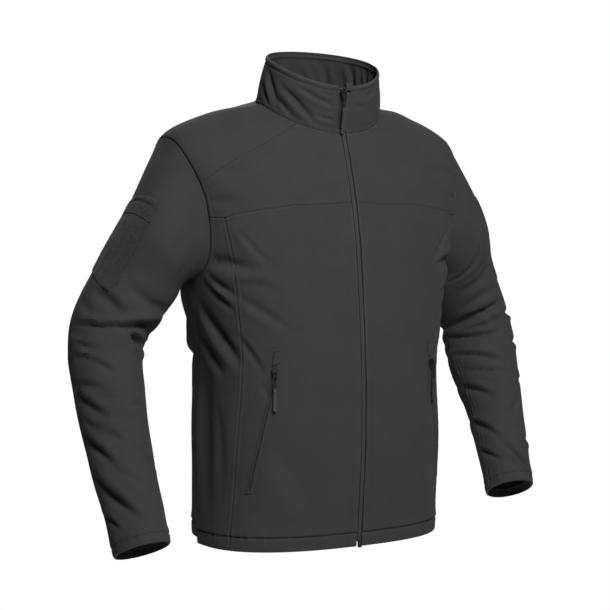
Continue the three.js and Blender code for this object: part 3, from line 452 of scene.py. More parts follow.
    def relief(self, s: Array, t: Array) -> Array:
        """Creases at stations, faded near the armholes, the collar seam and the hem.

        Args:
            s: Shares round the body.
            t: Heights in the rings' stations.

        Returns:
            Millimetres outwards.
        """
        form = Relief(self.creases, self.across, self.along, 11)
        turned = s - 2 * np.sign(s)
        weight = smooth(np.abs(s), 0.9, 1.0)
        both = form.height(s, t) * (1 - weight / 2) + form.height(turned, t) * weight / 2
        rim = smooth(self.armhole.distance(np.abs(s), t), 0.99, 1.14)
        return both * rim * (1 - smooth(t, 6.6, 6.9)) * smooth(t, 0.0, 0.35)

    def station_at(self, t: Array, x: float) -> Array:
        """The station at a distance from the centre line in front."""
        row = self.rows(t)
        return np.arcsin(np.minimum(1.0, (x / row[:, 0]) ** (row[:, 7] / 2))) / np.pi

    def along_seam(self, seam: tuple[tuple[float, float], ...], share: Array) -> Pair:
        """Stations on a seam at shares of its height.

        Args:
            seam: Stations (s, t) from the top.
            share: Places from 0 to 1.

        Returns:
            The s and t of each place.
        """
        rows = np.array(seam, float)
        t = rows[0, 1] + (rows[-1, 1] - rows[0, 1]) * share
        i = np.clip(np.searchsorted(rows[:, 1], t, side="right") - 1, 0, len(rows) - 2)
        at = i + (t - rows[i, 1]) / (rows[i + 1, 1] - rows[i, 1])
        places = np.broadcast_to(rows[:, None, :1], (len(rows), len(share), 1))
        return catmull(places, at)[:, 0], t


@dataclass(frozen=True)
class SleeveForm:
    """One sleeve: rings of centre, half widths and tilt from the upper arm to the cuff."""

    side: Side
    rings: tuple[tuple[float, ...], ...]
    creases: tuple[Crease, ...]
    body: BodyForm = BodyForm()
    along: float = 85.0

    def ring(self, k: int, angle: Array) -> Array:
        """Points of one ring at angles, 0 outwards and 90 degrees forwards.

        Args:
            k: Which ring.
            angle: Angles in radians.

        Returns:
            Points in millimetres.
        """
        if k == 0:
            s, t = self.body.armhole.station(angle)
            return self.body.base(self.side.sign * s, t)
        centres = np.array([[self.side.sign * r[0], r[1], r[2]] for r in self.rings], float)
        row = self.rings[k - 1]
        down = unit(centres[min(k, len(centres) - 1)] - centres[max(0, k - 2)])
        forward = np.array([0.0, -1.0, 0.0]) + down * down[1]
        forward = unit(forward)
        outward = np.cross(forward, down) * self.side.sign
        c, s = np.cos(angle)[:, None], np.sin(angle)[:, None]
        tilt = down * (row[5] * c + row[6] * s)
        return centres[k - 1] + outward * row[3] * c + forward * row[4] * s + tilt

    def base(self, angle: Array, w: Array) -> Array:
        """Points of the sleeve without creases; w runs from the armhole to the cuff."""
        return catmull(np.stack([self.ring(k, angle) for k in range(len(self.rings) + 1)]), w)

    def normal(self, angle: Array, w: Array) -> Array:
        """The direction out of the cloth.

        Args:
            angle: Angles round the sleeve, in radians.
            w: Stations down the sleeve.

        Returns:
            Unit directions.
        """
        along_a = self.base(angle + 0.02, w) - self.base(angle - 0.02, w)
        along_w = self.base(angle, w + 0.02) - self.base(angle, w - 0.02)
        return unit(np.cross(along_w, along_a)) * -self.side.sign

    def relief(self, angle: Array, w: Array) -> Array:
        """Creases at angles and stations, faded at both ends.

        Args:
            angle: Angles round the sleeve, in radians.
            w: Stations down the sleeve.

        Returns:
            Millimetres outwards.
        """
        form = Relief(self.creases, 1.0, self.along, 31 + self.side.sign)
        degrees = np.degrees(angle)
        turned = np.where(degrees > 90, degrees - 360, degrees + 360)
        weight = smooth(np.abs(degrees - 90), 172, 182)
        both = form.height(degrees, w) * (1 - weight / 2) + form.height(turned, w) * weight / 2
        return both * smooth(w, 0.05, 0.4) * (1 - smooth(w, 6.45, 6.8))


@dataclass(frozen=True)
class CollarForm:
    """The stand-up collar: three rings from its seam to its rim."""

    rings: tuple[tuple[float, ...], ...] = (
        (105, -14, 0.4, -92, -45.6, 62, 16.4, 2.0, 1.3, 1.3),
        (100, -22, 32, -97, -10, 53, 52, 2.0, 1.3, 1.3),
        (94, -31, 65, -99, 27, 43, 88, 2.0, 1.3, 0.85),
    )
    channel: float = 4.8
    edges: tuple[tuple[Side, float], ...] = ((Side.RIGHT, 12.8), (Side.LEFT, 1.2))
    creases: tuple[Crease, ...] = (
        Crease(((-0.51, 1.62), (-0.425, 0.9), (-0.36, 0.28)), 6.5, 5.2, 0.5, -1),
        Crease(((-0.54, 0.95), (-0.478, 0.5), (-0.435, 0.22)), 4.5, 3.2, 0.5, -1),
        Crease(((-0.37, 1.25), (-0.265, 0.91), (-0.16, 0.32)), 6.5, 5.6, 0.5, -1),
        Crease(((-0.375, 0.62), (-0.323, 0.43), (-0.275, 0.2)), 4.5, 3.0, 0.45, -1),
        Crease(((-0.26, 1.5), (-0.165, 1.33), (-0.08, 1.15)), 5, 3.4, 0.5, -1),
        Crease(((-0.15, 0.63), (-0.105, 0.54), (-0.05, 0.54)), 4, 2.4, 0.5, -1),
        Crease(((-0.14, 1.58), (-0.07, 1.56)), 3, 1.6, 0.5, -1),
        Crease(((0.22, 1.62), (0.15, 1.44)), 6, 2.4, 0.4, 1),
        Crease(((0.06, 1.2), (0.11, 1.02)), 6, 1.6, 0.4, 1),
        Crease(((0.3, 0.1), (0.33, 0.6), (0.35, 1.3)), 7, 2.4, 0.5, -1),
        Crease(((0.45, 0.2), (0.46, 0.8), (0.48, 1.4)), 6, 2.6, 0.5, 1),
        Crease(((0.53, 1.75), (0.54, 1.1), (0.55, 0.4)), 4.5, 3.2, 0.5, 1),
        Crease(((0.595, 1.7), (0.585, 1.1), (0.575, 0.5)), 4, 3.0, 0.5, -1),
        Crease(((0.645, 1.7), (0.643, 1.0), (0.64, 0.4)), 5, 3.6, 0.5, 1),
        Crease(((0.728, 1.7), (0.7, 0.97), (0.68, 0.3)), 5, 4.2, 0.5, -1),
        Crease(((0.82, 1.65), (0.8, 0.87), (0.79, 0.3)), 4.5, 3.2, 0.5, 1),
        Crease(((0.9, 1.6), (0.86, 0.87), (0.84, 0.3)), 5, 2.6, 0.5, -1),
        Crease(((0.975, 1.58), (0.928, 0.86), (0.9, 0.3)), 5, 3.8, 0.5, 1),
        Crease(((-0.885, 1.65), (-0.915, 1.2), (-0.93, 0.5)), 5, 2.8, 0.5, 1),
        Crease(((-0.8, 1.6), (-0.81, 0.9), (-0.79, 0.3)), 5, 3.0, 0.5, -1),
        Crease(((-0.7, 1.6), (-0.69, 0.9), (-0.7, 0.25)), 5, 3.4, 0.5, 1),
        Crease(((-0.61, 1.6), (-0.6, 1.0), (-0.585, 0.4)), 5, 2.8, 0.5, 1),
    )

    def rows(self, v: Array) -> Array:
        """Ring values at heights v."""
        table = np.array(self.rings, float)[:, None, :]
        return catmull(np.broadcast_to(table, (len(table), len(v), 10)), v)

    def base(self, s: Array, v: Array) -> Array:
        """Points of the collar without creases."""
        return ring_point(self.rows(v), s)

    def normal(self, s: Array, v: Array) -> Array:
        """The direction out of the cloth.

        Args:
            s: Shares round the collar.
            v: Heights in the rings' stations.

        Returns:
            Unit directions.
        """
        along_s = self.base(s + 0.004, v) - self.base(s - 0.004, v)
        along_v = self.base(s, v + 0.02) - self.base(s, v - 0.02)
        return unit(np.cross(along_s, along_v))

    def relief(self, s: Array, v: Array) -> Array:
        """Creases, faded at the folded rim and beside the zip.

        Args:
            s: Shares round the collar.
            v: Heights in the rings' stations.

        Returns:
            Millimetres outwards.
        """
        form = Relief(self.creases, 300.0, 45.0, 5, 0.35)
        weight = smooth(np.abs(s), 0.9, 1.0) / 2
        both = form.height(s, v) * (1 - weight) + form.height(s - 2 * np.sign(s), v) * weight
        return both * (1 - smooth(v, 1.55, 1.8)) * smooth(np.abs(s), 0.03, 0.07)

    def edge(self, side: Side, v: Array) -> Array:
        """The station of a front edge: it meets the body's edge and falls open above it.

        Args:
            side: The wearer's side.
            v: Heights in the rings' stations.

        Returns:
            Shares round the collar.
        """
        x = self.channel + (dict(self.edges)[side] - self.channel) * smooth(v, 0.0, 0.3)
        row = self.rows(v)
        return np.arcsin(np.minimum(1.0, (x / row[:, 0]) ** (row[:, 7] / 2))) / np.pi * side.sign

    def station_at(self, v: Array, x: float) -> Array:
        """The station at a distance from the centre line in front."""
        row = self.rows(v)
        return np.arcsin(np.minimum(1.0, (x / row[:, 0]) ** (row[:, 7] / 2))) / np.pi


RIGHT_SLEEVE = SleeveForm(
    Side.RIGHT,
    (
        (272, 13, -213, 62, 76, -43, 0),
        (298, 28, -270, 65, 69, 0, 0),
        (347, 33, -353, 59, 61, 0, 0),
        (353, 12, -440, 54, 56, 0, 0),
        (352, -22, -530, 48, 50, 0, 0),
        (348, -62, -615, 45, 46, 0, 0),
        (346, -83, -665, 43, 44, 1, -2),
    ),
    (
        # the elbow
        Crease(((2, 3.0), (48, 3.0), (90, 2.84)), 5.5, 7.8, 0.6, -1),
        Crease(((80, 2.9), (130, 2.66), (156, 2.84)), 8, 11.4, 0.55, -1),
        Crease(((-8, 3.08), (24, 3.14), (58, 3.1)), 4.5, 4.6, 0.5, 1),
        Crease(((98, 3.0), (128, 3.04), (160, 3.12)), 8, 6.6, 0.5, 1),
        Crease(((20, 2.44), (45, 2.52), (72, 2.66)), 6.5, 6.4, 0.55, -1),
        Crease(((-4, 2.62), (14, 2.7), (31, 2.8)), 4.5, 3.5, 0.5, 1),
        Crease(((60, 2.2), (100, 2.34), (140, 2.3)), 9, 5.2, 0.4, 1),
        Crease(((92, 0.6), (98, 1.3), (104, 2.0)), 12, 2.0, 0.4, -1),
        Crease(((112, 0.5), (119, 1.2), (124, 1.9)), 10, 3.0, 0.4, 1),
        # down the forearm
        Crease(((10, 3.465), (30, 3.5), (48, 3.56)), 4.5, 4.0, 0.5, -1),
        Crease(((44, 3.54), (60, 3.64), (74, 3.76)), 4.5, 4.4, 0.5, -1),
        Crease(((-6, 3.86), (29, 3.91), (56, 4.02)), 5.5, 5.0, 0.5, -1),
        Crease(((-4, 3.96), (27, 4.23), (52, 4.44)), 6.5, 7.2, 0.5, -1),
        Crease(((48, 4.43), (83, 4.53), (130, 4.5)), 5.5, 3.4, 0.4, 1),
        Crease(((10, 4.44), (23, 4.55), (39, 4.59)), 4.5, 3.6, 0.4, -1),
        Crease(((-6, 4.62), (25, 4.94), (50, 5.22)), 7, 8.0, 0.5, -1),
        Crease(((43, 4.71), (58, 4.77), (77, 4.9)), 4.5, 3.8, 0.5, -1),
        Crease(((-4, 5.25), (26, 5.64), (70, 6.15)), 8.5, 10.2, 0.5, -1),
        Crease(((37, 5.33), (67, 5.41), (99, 5.66)), 5.5, 3.6, 0.4, 1),
        Crease(((-20, 5.87), (9, 6.05), (28, 6.3)), 5, 5.4, 0.5, -1),
        Crease(((13, 3.27), (37, 3.35), (54, 3.34)), 4, 3.8, 0.5, 1),
        Crease(((96, 4.36), (113, 4.31), (134, 4.39)), 5, 3.8, 0.4, -1),
        Crease(((94, 2.9), (117, 3.03), (143, 3.28)), 6, 7.5, 0.5, -1),
        Crease(((30, 4.13), (53, 4.16), (79, 4.22)), 5, 3.2, 0.4, 1),
        Crease(((90, 5), (120, 5.2), (150, 5.3)), 5.3, 5.1, 0.4, 1),
        # behind and inside
        Crease(((-60, 2.5), (-40, 2.9), (-25, 3.35)), 8, 3.8, 0.4, 1),
        Crease(((165, 2.72), (205, 2.95), (240, 3.2)), 7, 6.0, 0.5, 1),
        Crease(((175, 3.2), (210, 3.4), (245, 3.7)), 6.5, 5.2, 0.5, 1),
        Crease(((172, 3.7), (205, 3.85), (240, 4.15)), 6, 4.1, 0.5, -1),
        Crease(((180, 4.3), (210, 4.5), (240, 4.8)), 6.5, 4.3, 0.4, 1),
        Crease(((180, 5.0), (215, 5.15), (250, 5.45)), 6, 3.8, 0.4, -1),
        Crease(((190, 1.0), (215, 1.5), (235, 2.0)), 9, 4.6, 0.4, 1),
    ),
)

LEFT_SLEEVE = SleeveForm(
    Side.LEFT,
    (
        (268, 12, -213, 62, 77, -43, 0),
        (294, 28, -270, 65, 69, 0, 0),
        (341, 33, -353, 59, 61, 0, 0),
        (342, 5, -428, 57, 59, 0, 0),
        (335, -38, -505, 46, 48, 0, 0),
        (324, -80, -580, 41, 42, 0, 0),
        (320, -99, -627, 39, 40, 1, -5),
    ),
    (
        # the elbow
        Crease(((188, 2.94), (120, 2.84), (58, 2.78)), 7.5, 9.9, 0.6, -1),
        Crease(((178, 3.02), (148, 2.98), (116, 2.92)), 6, 5.2, 0.5, 1),
        Crease(((110, 2.74), (96, 3.0), (82, 3.3)), 6, 4.9, 0.5, -1),
        Crease(((180, 3.25), (135, 3.4), (88, 3.5)), 7, 6.0, 0.5, 1),
        Crease(((70, 2.5), (95, 2.45), (135, 2.6)), 8, 4.7, 0.5, 1),
        Crease(((60, 1.9), (90, 2.1), (125, 2.2)), 9, 4.2, 0.4, -1),
        Crease(((80, 1.1), (105, 1.4), (135, 1.7)), 9, 3.9, 0.4, 1),
        # down the forearm
        Crease(((178, 3.78), (135, 4.0), (90, 4.26)), 5.7, 7, 0.5, 1),
        Crease(((178, 4.2), (130, 4.38), (84, 4.46)), 4.8, 5.3, 0.5, -1),
        Crease(((188, 4.5), (158, 4.68), (125, 4.92)), 5.3, 6.6, 0.5, 1),
        Crease(((194, 5.2), (164, 5.4), (134, 5.62)), 5.3, 6.6, 0.5, 1),
        Crease(((192, 5.78), (166, 5.95), (140, 6.15)), 4.8, 5.7, 0.5, 1),
        Crease(((136, 5.76), (98, 6.1), (58, 6.56)), 5.7, 6.6, 0.5, -1),
        Crease(((60, 4.9), (85, 5.15), (115, 5.3)), 5.7, 5.3, 0.4, 1),
        Crease(((10, 3.6), (40, 3.72), (70, 3.68)), 4.4, 4.6, 0.4, 1),
        Crease(((-10, 4.4), (25, 4.5), (60, 4.45)), 4.8, 4.9, 0.4, -1),
        Crease(((0, 5.3), (30, 5.6), (60, 5.8)), 5.3, 5.7, 0.4, 1),
        Crease(((-5, 3.05), (25, 3.12), (60, 3.05)), 4.8, 5.9, 0.5, 1),
        # behind and inside
        Crease(((-60, 2.6), (-42, 2.95), (-28, 3.3)), 8, 3.1, 0.4, -1),
        Crease(((192, 2.96), (220, 3.1), (248, 3.3)), 7, 5.7, 0.5, 1),
        Crease(((190, 3.5), (215, 3.65), (245, 3.95)), 6, 3.9, 0.5, -1),
        Crease(((195, 4.2), (220, 4.35), (245, 4.6)), 6, 3.6, 0.4, 1),
        Crease(((198, 4.95), (222, 5.1), (246, 5.3)), 6, 3.4, 0.4, 1),
        Crease(((185, 1.1), (212, 1.6), (235, 2.1)), 9, 3.9, 0.4, -1),
    ),
)


# Cloth made of grids


@dataclass(frozen=True)
class SeamLine:
    """A sewn line on the form, with the way that the cloth is worked along it."""

    points: Array
    edge: Edge
    seed: int

    def measure(self, places: Array) -> Pair:
        """How far places are from the line, and how far along it.

        Args:
            places: Points, shaped (..., 3).

        Returns:
            Distance and run in millimetres, shaped as the places.
        """
        flat = places.reshape(-1, 3)
        line = self.points
        runs = np.concatenate([[0.0], np.cumsum(np.linalg.norm(np.diff(line, axis=0), axis=1))])
        squares = (flat**2).sum(1)[:, None] - 2 * flat @ line.T + (line**2).sum(1)[None]
        nearest = np.argmin(squares, axis=1)
        best, run = np.full(len(flat), 1e9), np.zeros(len(flat))
        for first in (np.maximum(nearest - 1, 0), np.minimum(nearest, len(line) - 2)):
            p, q = line[first], line[first + 1]
            span = q - p
            f = np.clip(((flat - p) * span).sum(1) / np.maximum((span**2).sum(1), 1e-9), 0, 1)
            away = np.linalg.norm(flat - p - span * f[:, None], axis=1)
            closer = away < best
            best = np.where(closer, away, best)
            run = np.where(closer, runs[first] + f * (runs[first + 1] - runs[first]), run)
        return best.reshape(places.shape[:-1]), run.reshape(places.shape[:-1])

    def work(self, places: Array) -> tuple[Array, Array, Array]:
        """What the line does to cloth at places.

        Args:
            places: Points of the cloth.

        Returns:
            The rise of the outer face, the extra wall and how much paler the outer face is drawn, in that
            order.
        """
        d, run = self.measure(places)
        pucker = ripple(run, self.seed, (8.5, 13.0, 21.0))
        if self.edge is Edge.SET_IN:
            rise = -0.35 * hump(d, 0, 1.0) - 0.4 * hump(d, 6.4, 1.2)
            rise += 0.45 * hump(d, 3.2, 1.8) + 0.3 * pucker * hump(d, 8, 7.0)
            return rise, np.zeros_like(d), 0.4 * hump(d, 0, 2.4)
        if self.edge is Edge.SEAM:
            rise = -1.0 * hump(d, 0, 1.1) + 0.25 * hump(d, 3.4, 1.8)
            rise += -0.3 * hump(d, 6.6, 1.2) + 0.3 * pucker * hump(d, 8, 7.0)
            return rise, np.zeros_like(d), 0.15 * hump(d, 3.4, 2.0)
        if self.edge in (Edge.HEM, Edge.CUFF):
            deep = HEM_FOLD if self.edge is Edge.HEM else CUFF_FOLD
            step, cut = (1.5, 1.9) if self.edge is Edge.HEM else (0.7, 1.0)
            rise = 0.7 * np.sin(np.pi * np.clip(d / deep, 0, 1)) ** 0.6
            rise += step * smooth(d, deep - 0.4, deep + 1.6) * hump(d, deep, 12.0)
            rise -= cut * hump(d, deep - 0.9, 1.5) + 0.9 * hump(d, 0, 1.2)
            rise += 0.75 * pucker * hump(d, deep, 9.0) * smooth(d, 0.5, 6)
            wall = 1.3 * (1 - smooth(d, deep - 2, deep + 1)) * smooth(d, 0.0, 2.0)
            return rise, wall, 0.5 * hump(d, 0, 2.5)
        if self.edge is Edge.ZIP:
            rise = 0.55 * (1 - smooth(d, 5.0, 7.0)) * smooth(d, 0.0, 1.4) - 0.6 * hump(d, 0, 0.9)
            rise -= 0.8 * hump(d, ZIP_STITCHES, 1.4) + 0.22 * pucker * hump(d, 14, 6.0)
            return rise, np.zeros_like(d), 0.8 * hump(d, 0, 1.6)
        rise = 0.8 * (1 - smooth(d, 6.0, 8.0)) * smooth(d, 0.0, 2.4) - 0.7 * hump(d, 0, 1.3)
        rise -= 1.2 * hump(d, 8.4, 1.4) + 0.3 * pucker * hump(d, 10, 6.0)
        wall = 0.9 * (1 - smooth(d, 7, 9)) * smooth(d, 0.0, 2.4)
        return rise, wall, 0.9 * hump(d, 0, 2.2)


@dataclass
class Grid:
    """A piece of cloth as points in columns and rows, each with its direction out of the cloth."""

    points: Array
    normals: Array
    wall: float = 1.8
    walls: Array = field(init=False)
    # a mask per point: paler seams and folded edges on the shell, painted shade in the loop patch's slit, and
    # the zip tape's face, whose rest gets painted shade
    pale_edge_and_painted_shade: Array = field(init=False)

    def __post_init__(self) -> None:
        """Starts with an even wall, no paler edges and no painted shade."""
        self.walls = np.full(self.points.shape[:2], self.wall)
        self.pale_edge_and_painted_shade = np.zeros(self.points.shape[:2])

    def away(self, border: Border) -> Array:
        """Distance of each point from a border, along the cloth.

        Args:
            border: Which border.

        Returns:
            Millimetres, shaped as the grid.
        """
        axis = 0 if border in (Border.START, Border.END) else 1
        steps = np.linalg.norm(np.diff(self.points, axis=axis), axis=-1)
        shape = list(self.points.shape[:2])
        shape[axis] = 1
        total = np.concatenate([np.zeros(shape), np.cumsum(steps, axis=axis)], axis=axis)
        if border in (Border.START, Border.TOP):
            return total
        return (total[-1:, :] if axis == 0 else total[:, -1:]) - total

    def width(self) -> float:
        """Length of the longest row."""
        return float(np.linalg.norm(np.diff(self.points, axis=0), axis=-1).sum(0).max())

    def length(self) -> float:
        """Length of the longest column."""
        return float(np.linalg.norm(np.diff(self.points, axis=1), axis=-1).sum(1).max())

    def area(self) -> float:
        """Area of the cloth."""
        across = np.linalg.norm(np.diff(self.points, axis=0), axis=-1)
        down = np.linalg.norm(np.diff(self.points, axis=1), axis=-1)
        return float((across[:, :-1] * down[:-1, :]).sum())

    def sew(self, seams: list[SeamLine]) -> "Grid":
        """Works the cloth along seams and edges, and returns it.

        Args:
            seams: The sewn lines that work the cloth.

        Returns:
            The grid itself.
        """
        rise = np.zeros(self.points.shape[:2])
        for seam in seams:
            lift, wall, pale_edge_and_painted_shade = seam.work(self.points)
            rise += lift
            self.walls += wall
            self.pale_edge_and_painted_shade = np.maximum(self.pale_edge_and_painted_shade, pale_edge_and_painted_shade)
        self.points = self.points + self.normals * rise[..., None]
        return self

    def out(self) -> Array:
        """Directions out of the finished cloth."""
        made = unit(np.cross(np.gradient(self.points, axis=0), np.gradient(self.points, axis=1)))
        return made * np.sign(np.sum(made * self.normals))

    def line(self, border: Border, distance: float, first: int = 0, last: int | None = None) -> Pair:
        """A line that keeps a distance from a border, on the finished cloth.

        Args:
            border: The border it follows.
            distance: Millimetres from it.
            first: First column or row it uses.
            last: Column or row before which it ends.

        Returns:
            Points and directions out of the cloth.
        """
        d, out = self.away(border), self.out()
        columns = border in (Border.TOP, Border.BOTTOM)
        order = slice(None, None, -1 if border in (Border.BOTTOM, Border.END) else 1)
        points, normals = [], []
        for k in range(d.shape[0] if columns else d.shape[1])[first:last]:
            row, p, n = (x[k][order] if columns else x[:, k][order] for x in (d, self.points, out))
            if row[-1] < distance:
                continue
            j = max(1, int(np.searchsorted(row, distance)))
            f = (distance - row[j - 1]) / max(row[j] - row[j - 1], 1e-6)
            points.append(p[j - 1] + (p[j] - p[j - 1]) * f)
            normals.append(n[j])
        return np.array(points), unit(np.array(normals))


def graded(steps: int, length: float, close: tuple[float, float], pitch: float = 1.3) -> Array:
    """Shares along a border, closer together near its ends, where the cloth is sewn.

    Args:
        steps: Number of steps in all.
        length: The border's length.
        close: Lengths at the start and at the end with close steps.
        pitch: Length of a close step.

    Returns:
        The shares, one more than the steps.
    """
    first, last = (round(reach / pitch) for reach in close)
    middle = np.linspace(close[0], length - close[1], steps - first - last + 1)
    start = np.linspace(0, close[0], first, endpoint=False)
    end = np.linspace(length, length - close[1], last, endpoint=False)[::-1]
    return np.concatenate([start, middle, end]) / length


@dataclass(frozen=True)
class Quad:
    """A panel between four curved borders in stations, each a function of a share from 0 to 1."""

    top: Edge1D
    bottom: Edge1D
    start: Edge1D
    end: Edge1D

    def at(self, u: Array, v: Array) -> Pair:
        """Stations at shares u across and v down, both flat arrays of one length.

        Args:
            u: Shares across.
            v: Shares down.

        Returns:
            The two stations of each place.
        """
        zero, one = np.zeros(1), np.ones(1)
        made = []
        for k in (0, 1):
            corners = [self.top(zero)[k], self.top(one)[k], self.bottom(zero)[k], self.bottom(one)[k]]
            ruled = self.top(u)[k] * (1 - v) + self.bottom(u)[k] * v
            ruled = ruled + self.start(v)[k] * (1 - u) + self.end(v)[k] * u
            plain = (corners[0] * (1 - u) + corners[1] * u) * (1 - v)
            plain = plain + (corners[2] * (1 - u) + corners[3] * u) * v
            made.append(ruled - plain)
        return made[0], made[1]

    def stations(self, across: Array, down: Array, inset: tuple[float, ...] = (0, 0, 0, 0)) -> Pair:
        """Stations of a grid.

        Args:
            across: Shares of its columns.
            down: Shares of its rows.
            inset: Shares left free at the start, end, top and bottom.

        Returns:
            The s and t of each point, shaped (columns, rows).
        """
        us = np.clip(across, inset[0], 1 - inset[1])
        vs = np.clip(down, inset[2], 1 - inset[3])
        u, v = np.meshgrid(us, vs, indexing="ij")
        s, t = self.at(u.ravel(), v.ravel())
        return s.reshape(u.shape), t.reshape(u.shape)


def chain(pieces: list[tuple[Edge1D, float]]) -> Edge1D:
    """One border made of several, each with its share of the length.

    Args:
        pieces: Borders with their shares.

    Returns:
        The joined border.
    """
    ends = np.cumsum([share for _, share in pieces])

    def run(at: Array) -> Pair:
        """Stations along the joined border."""
        which = np.minimum(np.searchsorted(ends, at - 1e-9), len(pieces) - 1)
        s, t = np.zeros(len(at)), np.zeros(len(at))
        for k, (curve, share) in enumerate(pieces):
            mine = which == k
            local = np.clip((at[mine] - (ends[k] - share)) / share, 0, 1)
            s[mine], t[mine] = curve(local)
        return s, t

    return run


def straight(s0: float, t0: float, s1: float, t1: float) -> Edge1D:
    """A straight border between two stations."""
    return lambda at: (s0 + (s1 - s0) * at, t0 + (t1 - t0) * at)


# Finishes


@dataclass
class Number:
    """A number in a finish, which takes part in Python expressions."""

    tree: "FinishTree"
    socket: Socket

    def _with(self, operation: str, first: object, second: object) -> "Number":
        """The result of one Math node."""
        made = self.tree.node("ShaderNodeMath", {"operation": operation}, {0: first, 1: second})
        return Number(self.tree, made.outputs[0])

    def __add__(self, other: object) -> "Number":
        """Sum."""
        return self._with("ADD", self, other)

    __radd__ = __add__

    def __mul__(self, other: object) -> "Number":
        """Product."""
        return self._with("MULTIPLY", self, other)

    __rmul__ = __mul__

    def __sub__(self, other: object) -> "Number":
        """Difference."""
        return self._with("SUBTRACT", self, other)

    def __rsub__(self, other: object) -> "Number":
        """Difference with this number taken away."""
        return self._with("SUBTRACT", other, self)

    def sine(self) -> "Number":
        """Sine of the number."""
        return self._with("SINE", self, 0.0)

    def clipped(self) -> "Number":
        """The number kept between 0 and 1."""
        made = self.tree.node("ShaderNodeClamp", {}, {"Value": self})
        return Number(self.tree, made.outputs[0])


class FinishTree:
    """The nodes of one material."""

    def __init__(self, name: str) -> None:
        """Starts a material with a principled surface.

        Args:
            name: The material's name.
        """
        self.material = bpy.data.materials.new(name)
        self.material.use_nodes = True
        self.nodes = self.material.node_tree.nodes
        self.links = self.material.node_tree.links
        self.surface = next(n for n in self.nodes if n.type == "BSDF_PRINCIPLED")

    def node(self, kind: str, settings: dict[str, object], inputs: dict[object, object]) -> bpy.types.Node:
        """Adds a node.

        Args:
            kind: The node's type.
            settings: Settings, made before the sockets are filled.
            inputs: Values, numbers or sockets by socket name or place.

        Returns:
            The node.
        """
        made = self.nodes.new(kind)
        for key, value in settings.items():
            setattr(made, key, value)
        for key, value in inputs.items():
            self.put(made.inputs[key], value)
        return made

    def put(self, socket: Socket, value: object) -> None:
        """Fills a socket with a value, a number or a link.

        Args:
            socket: An input.
            value: What it gets.
        """
        if isinstance(value, Number):
            self.links.new(value.socket, socket)
        elif isinstance(value, Socket):
            self.links.new(value, socket)
        else:
            socket.default_value = value

    def place(self) -> Socket:
        """Object coordinates."""
        return self.node("ShaderNodeTexCoord", {}, {}).outputs["Object"]

    def cloth_place(self) -> tuple[Number, Number]:
        """Distance across and down the cloth, in metres, from its own map."""
        uv = self.node("ShaderNodeUVMap", {"uv_map": "cloth"}, {}).outputs[0]
        parts = self.node("ShaderNodeSeparateXYZ", {}, {0: uv})
        return Number(self, parts.outputs[0]), Number(self, parts.outputs[1])

    def attribute(self, name: str) -> Number:
        """A number stored on the mesh."""
        return Number(self, self.node("ShaderNodeAttribute", {"attribute_name": name}, {}).outputs["Fac"])

    def noise(self, where: Socket, scale: float, detail: float = 3.0, rough: float = 0.55) -> Number:
        """Soft noise at a place."""
        inputs = {"Vector": where, "Scale": scale, "Detail": detail, "Roughness": rough}
        return Number(self, self.node("ShaderNodeTexNoise", {}, inputs).outputs["Fac"])

    def mix(self, share: object, first: object, second: object) -> Socket:
        """A colour between two colours.

        Args:
            share: How much of the second.
            first: A colour.
            second: A colour.

        Returns:
            The mixed colour's socket.
        """
        made = self.nodes.new("ShaderNodeMix")
        made.data_type = "RGBA"
        self.put(made.inputs[0], share)
        for place, colour in ((6, first), (7, second)):
            self.put(made.inputs[place], (*colour, 1.0) if isinstance(colour, tuple) else colour)
        return made.outputs[2]

    def bump(self, height: Number, distance: float, strength: float) -> Socket:
        """A normal from a height between 0 and 1."""
        inputs = {"Height": height, "Distance": distance, "Strength": strength}
        return self.node("ShaderNodeBump", {}, inputs).outputs["Normal"]

    def finish(self, **sockets: object) -> Material:
        """Fills the surface's sockets, named with underscores, and returns the material."""
        for key, value in sockets.items():
            self.put(self.surface.inputs[key.replace("_", " ")], value)
        return self.material


@dataclass(frozen=True)
class SoftshellFinish:
    """The matt outer face of the bonded cloth, with a fine weave and a slight fleck, paler along seams and
    folded edges.
    """

    name: str = "softshell"
    deep: tuple[float, float, float] = (0.022, 0.0222, 0.0228)
    pale: tuple[float, float, float] = (0.036, 0.0362, 0.037)
    paler_edge: tuple[float, float, float] = (0.056, 0.056, 0.057)
    thread: float = 0.0011

    def make(self) -> Material:
        """Builds the material."""
        tree = FinishTree(self.name)
        across, down = tree.cloth_place()
        where = tree.place()
        turn = 2 * math.pi / self.thread
        weave = (across * turn + down * turn * 0.5).sine() * (down * turn).sine() * 0.5 + 0.5
        fleck = tree.noise(where, 1500.0, 2.0, 0.7)
        cloud = tree.noise(where, 26.0, 3.0, 0.5)
        nap = tree.noise(where, 420.0, 3.0, 0.6)
        share = (fleck * 1.1 + cloud * 0.5 + nap * 0.5 + weave * 0.25 - 0.72).clipped()
        colour = tree.mix(share, self.deep, self.pale)
        # paler along seams and folded edges, where the mask is set
        pale_edge_and_painted_shade = (tree.attribute("pale_edge_and_painted_shade") * (nap * 1.6 - 0.25)).clipped()
        colour = tree.mix(pale_edge_and_painted_shade * 0.55, colour, self.paler_edge)
        rough = 0.93 - pale_edge_and_painted_shade * 0.1 - weave * 0.06 + cloud * 0.04
        height = weave * 0.55 + fleck * 0.3 + nap * 0.35
        normal = tree.bump(height, 0.00035, 0.55)
        return tree.finish(Base_Color=colour, Roughness=rough, Normal=normal, Sheen_Weight=0.02,
                           Sheen_Roughness=0.5, Specular_IOR_Level=0.22)


